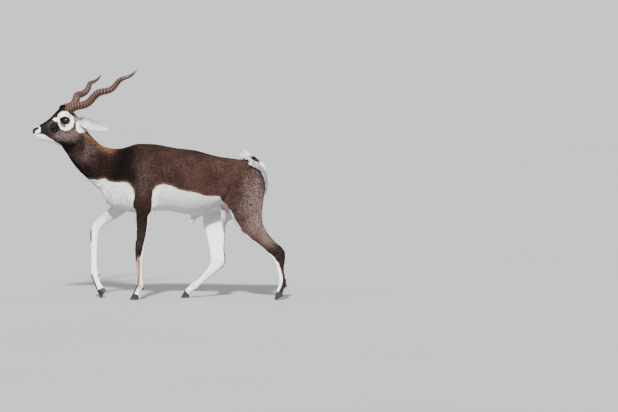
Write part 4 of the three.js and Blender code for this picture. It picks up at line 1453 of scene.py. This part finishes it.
def make_mottle():
    """The shared group: broad and fine noise at a place on the piece."""
    group = bpy.data.node_groups.new("mottle", "ShaderNodeTree")
    for name, value in (("Broad", 8.0), ("Fine", 300.0)):
        group.interface.new_socket(name, in_out="INPUT", socket_type="NodeSocketFloat").default_value = value
    for name in ("Patches", "Hairs"):
        group.interface.new_socket(name, in_out="OUTPUT", socket_type="NodeSocketFloat")
    given = group.nodes.new("NodeGroupInput")
    result = group.nodes.new("NodeGroupOutput")
    where = group.nodes.new("ShaderNodeTexCoord").outputs["Object"]
    for name, output, detail in (("Broad", "Patches", 4.0), ("Fine", "Hairs", 2.0)):
        noise = add_node(group, "ShaderNodeTexNoise", Vector=where, Detail=detail, Roughness=0.6)
        group.links.new(given.outputs[name], noise.inputs["Scale"])
        group.links.new(noise.outputs[0], result.inputs[output])
    return group


mottle = make_mottle()
print("the shared group is", mottle.name)


def new_material(name, **shader):
    """A material with its node tree and shader, and the shader's plain numbers set."""
    material = bpy.data.materials.new(name)
    material.use_nodes = True
    tree = material.node_tree
    principled = tree.nodes["Principled BSDF"]
    for key, value in shader.items():
        principled.inputs[key.replace("_", " ")].default_value = value
    return material, tree, principled


def add_mottle(tree, broad, fine):
    """The mottle group with two scales of its own."""
    node = tree.nodes.new("ShaderNodeGroup")
    node.node_tree = mottle
    node.inputs["Broad"].default_value = broad
    node.inputs["Fine"].default_value = fine
    return node.outputs["Patches"], node.outputs["Hairs"]


# %% [markdown]
# Skin and tufts share one build of the coat's colours, so that a gap between tufts never shows another
# colour. The dark brown is warmer towards the rump and nearly black at the base of the neck. A greyish
# sheen is painted on the side of the neck, the shoulder, the cheek, the thigh and the gaskin, over paler
# hair, with rufous hair on the nape, black on the mask, and white below, each border broken up by fine
# noise.

# %% Coat
DEEP_BROWN = paint(0.020, 0.0100, 0.0085)
WARM_BROWN = paint(0.098, 0.050, 0.040)
GREY_BROWN = paint(0.235, 0.180, 0.162)
RUFOUS = paint(0.235, 0.115, 0.062)
OCHRE = paint(0.26, 0.15, 0.088)
FAWN = paint(0.38, 0.225, 0.15)
NOSE_BLACK = paint(0.010, 0.009, 0.010)
TAN = paint(0.36, 0.245, 0.18)
MASK_BLACK = paint(0.006, 0.0045, 0.005)
WHITE_HAIR = paint(0.93, 0.93, 0.93)
CREAM_HAIR = paint(0.80, 0.77, 0.73)


def coat_material(name, bump):
    material, tree, shader = new_material(name, Specular_IOR_Level=0.12)
    patches, hairs = add_mottle(tree, 13.0, 420.0)
    clumps = add_mottle(tree, 130.0, 900.0)[0]
    tone = number_of(tree, "tone")
    warm = maths(tree, "MULTIPLY", number_of(tree, "warmth"), between(tree, patches, 0.36, 0.64, 0.5, 1.0))
    warm = maths(tree, "ADD", warm, between(tree, clumps, 0.3, 0.75, -0.2, 0.24), clamp=True)
    colour = mix(tree, warm, DEEP_BROWN, WARM_BROWN)
    colour = mix(tree, maths(tree, "MULTIPLY", number_of(tree, "gloom"), 0.85), colour, MASK_BLACK)
    # The sheen number mixes in grey-brown: painted sheen on neck, shoulder, cheek, thigh and gaskin, and
    # real grey below the eye.
    grey = maths(tree, "MULTIPLY", number_of(tree, "sheen"), between(tree, clumps, 0.3, 0.68, 0.42, 1.08))
    colour = mix(tree, grey, colour, GREY_BROWN)
    rufous = maths(tree, "MULTIPLY", number_of(tree, "nape"), between(tree, clumps, 0.25, 0.7, 0.45, 1.0))
    colour = mix(tree, rufous, colour, RUFOUS)
    colour = mix(tree, number_of(tree, "tan"), colour, TAN)
    fringe = maths(tree, "MULTIPLY", number_of(tree, "fringe"), between(tree, clumps, 0.3, 0.7, 0.12, 0.62))
    colour = mix(tree, fringe, colour, OCHRE)
    grizzle = between(tree, clumps, 0.3, 0.7, 0.68, 1.36)
    colour = add_node(tree, "ShaderNodeHueSaturation", Color=colour, Value=grizzle).outputs[0]
    ragged = maths(tree, "MULTIPLY", maths(tree, "SUBTRACT", hairs, 0.5), 9.0)
    ragged = maths(tree, "ADD", ragged, maths(tree, "MULTIPLY", maths(tree, "SUBTRACT", tone, 0.5), 2.5))
    black = between(tree, maths(tree, "ADD", number_of(tree, "black"), ragged), -1.2, 1.8)
    colour = mix(tree, black, colour, MASK_BLACK)
    creamy = between(tree, clumps, 0.35, 0.8, 0.0, 0.35)
    pale = mix(tree, creamy, WHITE_HAIR, CREAM_HAIR)
    white = between(tree, maths(tree, "ADD", number_of(tree, "white"), ragged), -1.2, 1.6)
    colour = mix(tree, white, colour, pale)
    colour = mix(tree, number_of(tree, "fawn"), colour, FAWN)
    colour = mix(tree, number_of(tree, "brown_line"), colour, DEEP_BROWN)
    bare = between(tree, number_of(tree, "bare"), -0.6, 0.6)
    colour = mix(tree, bare, colour, NOSE_BLACK)
    shade = between(tree, tone, 0.0, 1.0, 0.80, 1.20)
    shade = maths(tree, "MULTIPLY", shade, between(tree, hairs, 0.25, 0.75, 0.86, 1.14))
    bright = add_node(tree, "ShaderNodeHueSaturation", Color=colour, Value=shade)
    tree.links.new(bright.outputs[0], shader.inputs["Base Color"])
    rough = between(tree, white, 0.0, 1.0, 0.52, 0.72)
    rough = maths(tree, "SUBTRACT", rough, maths(tree, "MULTIPLY", bare, 0.22))
    tree.links.new(rough, shader.inputs["Roughness"])
    raised = add_node(tree, "ShaderNodeBump", Strength=bump, Distance=0.001, Height=hairs)
    tree.links.new(raised.outputs[0], shader.inputs["Normal"])
    return material


skin_material = coat_material("short hair over skin", 0.5)
hair_material = coat_material("hair tufts", 0.25)
skin_mesh.materials.append(skin_material)
for piece in coat:
    piece.data.materials.append(hair_material)
print("one build of the coat's colours, for the skin and", len(coat), "pieces of hair")

# %% [markdown]
# The horn sheath is dark brown with a red cast. The crests of the rings are paler, with dust and a
# painted highlight, and painted shade makes the grooves nearly black. It turns black and smoother at
# the tip. Hooves are black and a little dusty towards the floor, with fine rings, and the wet eye is
# nearly black, with a brown glow in the iris and a clear coat over it.


# %% Horn, hoof and eye
SHEATH = (paint(0.028, 0.0095, 0.005), paint(0.058, 0.021, 0.0115))
CREST_DUST_AND_HIGHLIGHT = paint(0.185, 0.092, 0.056)
GROOVE_SHADE = paint(0.012, 0.005, 0.004)
HORN_TIP = paint(0.03, 0.022, 0.02)
HOOF = (paint(0.006, 0.005, 0.005), paint(0.022, 0.017, 0.014))
HOOF_DUST = paint(0.22, 0.17, 0.12)
IRIS = (paint(0.004, 0.002, 0.0015), paint(0.017, 0.007, 0.004))
EYE_WHITE = (paint(0.06, 0.035, 0.025), paint(0.16, 0.11, 0.09))
PUPIL = paint(0.001, 0.001, 0.0015)


def horn_material():
    material, tree, shader = new_material("ringed horn", Specular_IOR_Level=0.35)
    patches, grain = add_mottle(tree, 28.0, 520.0)
    along = number_of(tree, "along")
    groove = number_of(tree, "groove")
    base = mix(tree, between(tree, patches, 0.3, 0.7), *SHEATH)
    speckled = between(tree, grain, 0.3, 0.7, 0.35, 1.0)
    # Paler on the crests, with dust and a painted highlight; painted shade darkens the grooves nearly to
    # black.
    dust_and_highlight = maths(tree, "MULTIPLY", between(tree, groove, 0.45, 0.0), speckled)
    base = mix(tree, maths(tree, "MULTIPLY", dust_and_highlight, 0.65), base, CREST_DUST_AND_HIGHLIGHT)
    base = mix(tree, between(tree, groove, 0.28, 0.7, 0.0, 0.97), base, GROOVE_SHADE)
    base = mix(tree, between(tree, along, 0.70, 0.92, 0.0, 0.9), base, HORN_TIP)
    tree.links.new(base, shader.inputs["Base Color"])
    smoother = between(tree, along, 0.6, 0.9, 0.50, 0.22)
    rough = maths(tree, "ADD", smoother, between(tree, grain, 0.3, 0.7, 0.0, 0.12))
    tree.links.new(rough, shader.inputs["Roughness"])
    raised = add_node(tree, "ShaderNodeBump", Strength=0.35, Distance=0.0008, Height=grain)
    tree.links.new(raised.outputs[0], shader.inputs["Normal"])
    return material


def hoof_material():
    material, tree, shader = new_material("black hoof", Specular_IOR_Level=0.35)
    patches, grain = add_mottle(tree, 60.0, 700.0)
    where = tree.nodes.new("ShaderNodeTexCoord").outputs["Object"]
    height = add_node(tree, "ShaderNodeSeparateXYZ", Vector=where).outputs[2]
    bent = maths(tree, "ADD", height, maths(tree, "MULTIPLY", patches, 0.008))
    wave = maths(tree, "SINE", maths(tree, "MULTIPLY", bent, 1500.0))
    dust_and_highlight = between(tree, height, 0.010, 0.0, 0.0, 0.35)
    base = mix(tree, between(tree, patches, 0.3, 0.7), *HOOF)
    base = mix(tree, maths(tree, "MULTIPLY", dust_and_highlight, grain), base, HOOF_DUST)
    tree.links.new(base, shader.inputs["Base Color"])
    tree.links.new(between(tree, grain, 0.3, 0.7, 0.32, 0.5), shader.inputs["Roughness"])
    wave = maths(tree, "MULTIPLY", wave, between(tree, patches, 0.3, 0.7, 0.02, 0.10))
    relief = maths(tree, "ADD", wave, grain)
    raised = add_node(tree, "ShaderNodeBump", Strength=0.4, Distance=0.0006, Height=relief)
    tree.links.new(raised.outputs[0], shader.inputs["Normal"])
    return material


def eye_material():
    wet = {"Specular_IOR_Level": 0.1, "Coat_Weight": 0.6, "Coat_Roughness": 0.05}
    material, tree, shader = new_material("wet eye", **wet)
    patches, fibres = add_mottle(tree, 90.0, 600.0)
    iris = mix(tree, between(tree, fibres, 0.3, 0.7), *IRIS)
    white_of_eye = mix(tree, patches, *EYE_WHITE)
    colour = mix(tree, between(tree, number_of(tree, "iris"), -0.04, 0.03), white_of_eye, iris)
    colour = mix(tree, between(tree, number_of(tree, "pupil"), -0.12, 0.12), colour, PUPIL)
    tree.links.new(colour, shader.inputs["Base Color"])
    tree.links.new(between(tree, patches, 0.2, 0.8, 0.22, 0.34), shader.inputs["Roughness"])
    return material


for pieces, material in ((horns, horn_material()), (hooves, hoof_material()), (eyes, eye_material())):
    for piece in pieces:
        piece.data.materials.append(material)
    print(material.name, "on", len(pieces), "pieces")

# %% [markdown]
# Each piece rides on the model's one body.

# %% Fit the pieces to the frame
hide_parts(*flesh_names)
for horn, eye, (_, word) in zip(horns, eyes, SIDES):
    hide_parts(f"horn_{word}")
    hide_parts(f"eye_{word}")
for pieces, slot in (([skin, *coat], "coat_dark"), (horns, "horn"), (hooves, "hoof"), (eyes, "eye")):
    for piece in pieces:
        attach(piece, "root")
    print(slot, "holds", len(pieces), "pieces")

# %% [markdown]
# The studio is a wide pale floor under soft light: one broad key from the camera's side and above, which
# lights the near flank as the sun does in the picture, and an even pale sky that fills the shadows.

# %% Floor and light
bm = bmesh.new()
bmesh.ops.create_grid(bm, x_segments=4, y_segments=4, size=120)
floor = bpy.data.objects.new("studio_floor", new_mesh("studio_floor", bm))
bpy.context.scene.collection.objects.link(floor)
floor_material, tree, shader = new_material("pale floor", Roughness=0.85)
patches, _ = add_mottle(tree, 0.6, 40.0)
pale = mix(tree, patches, paint(0.29, 0.29, 0.285), paint(0.32, 0.32, 0.315))
tree.links.new(pale, shader.inputs["Base Color"])
floor.data.materials.append(floor_material)


KEY_STRENGTH = 10.5
KEY_SOFTNESS = 5
KEY_DIRECTION = (0.12, 1.0, -0.85)
SKY_STRENGTH = 1.1
lamp = bpy.data.lights.new("key", "SUN")
lamp.energy = KEY_STRENGTH
lamp.angle = math.radians(KEY_SOFTNESS)
lamp.color = (1.0, 0.98, 0.95)
key = bpy.data.objects.new("key", lamp)
key.rotation_euler = Vector(KEY_DIRECTION).to_track_quat("-Z", "Y").to_euler()
bpy.context.scene.collection.objects.link(key)
world = bpy.data.worlds.new("studio")
world.use_nodes = True
background = world.node_tree.nodes["Background"]
background.inputs[0].default_value = paint(0.86, 0.93, 1.0)
background.inputs[1].default_value = SKY_STRENGTH
bpy.context.scene.world = world
print("one key light and the sky")
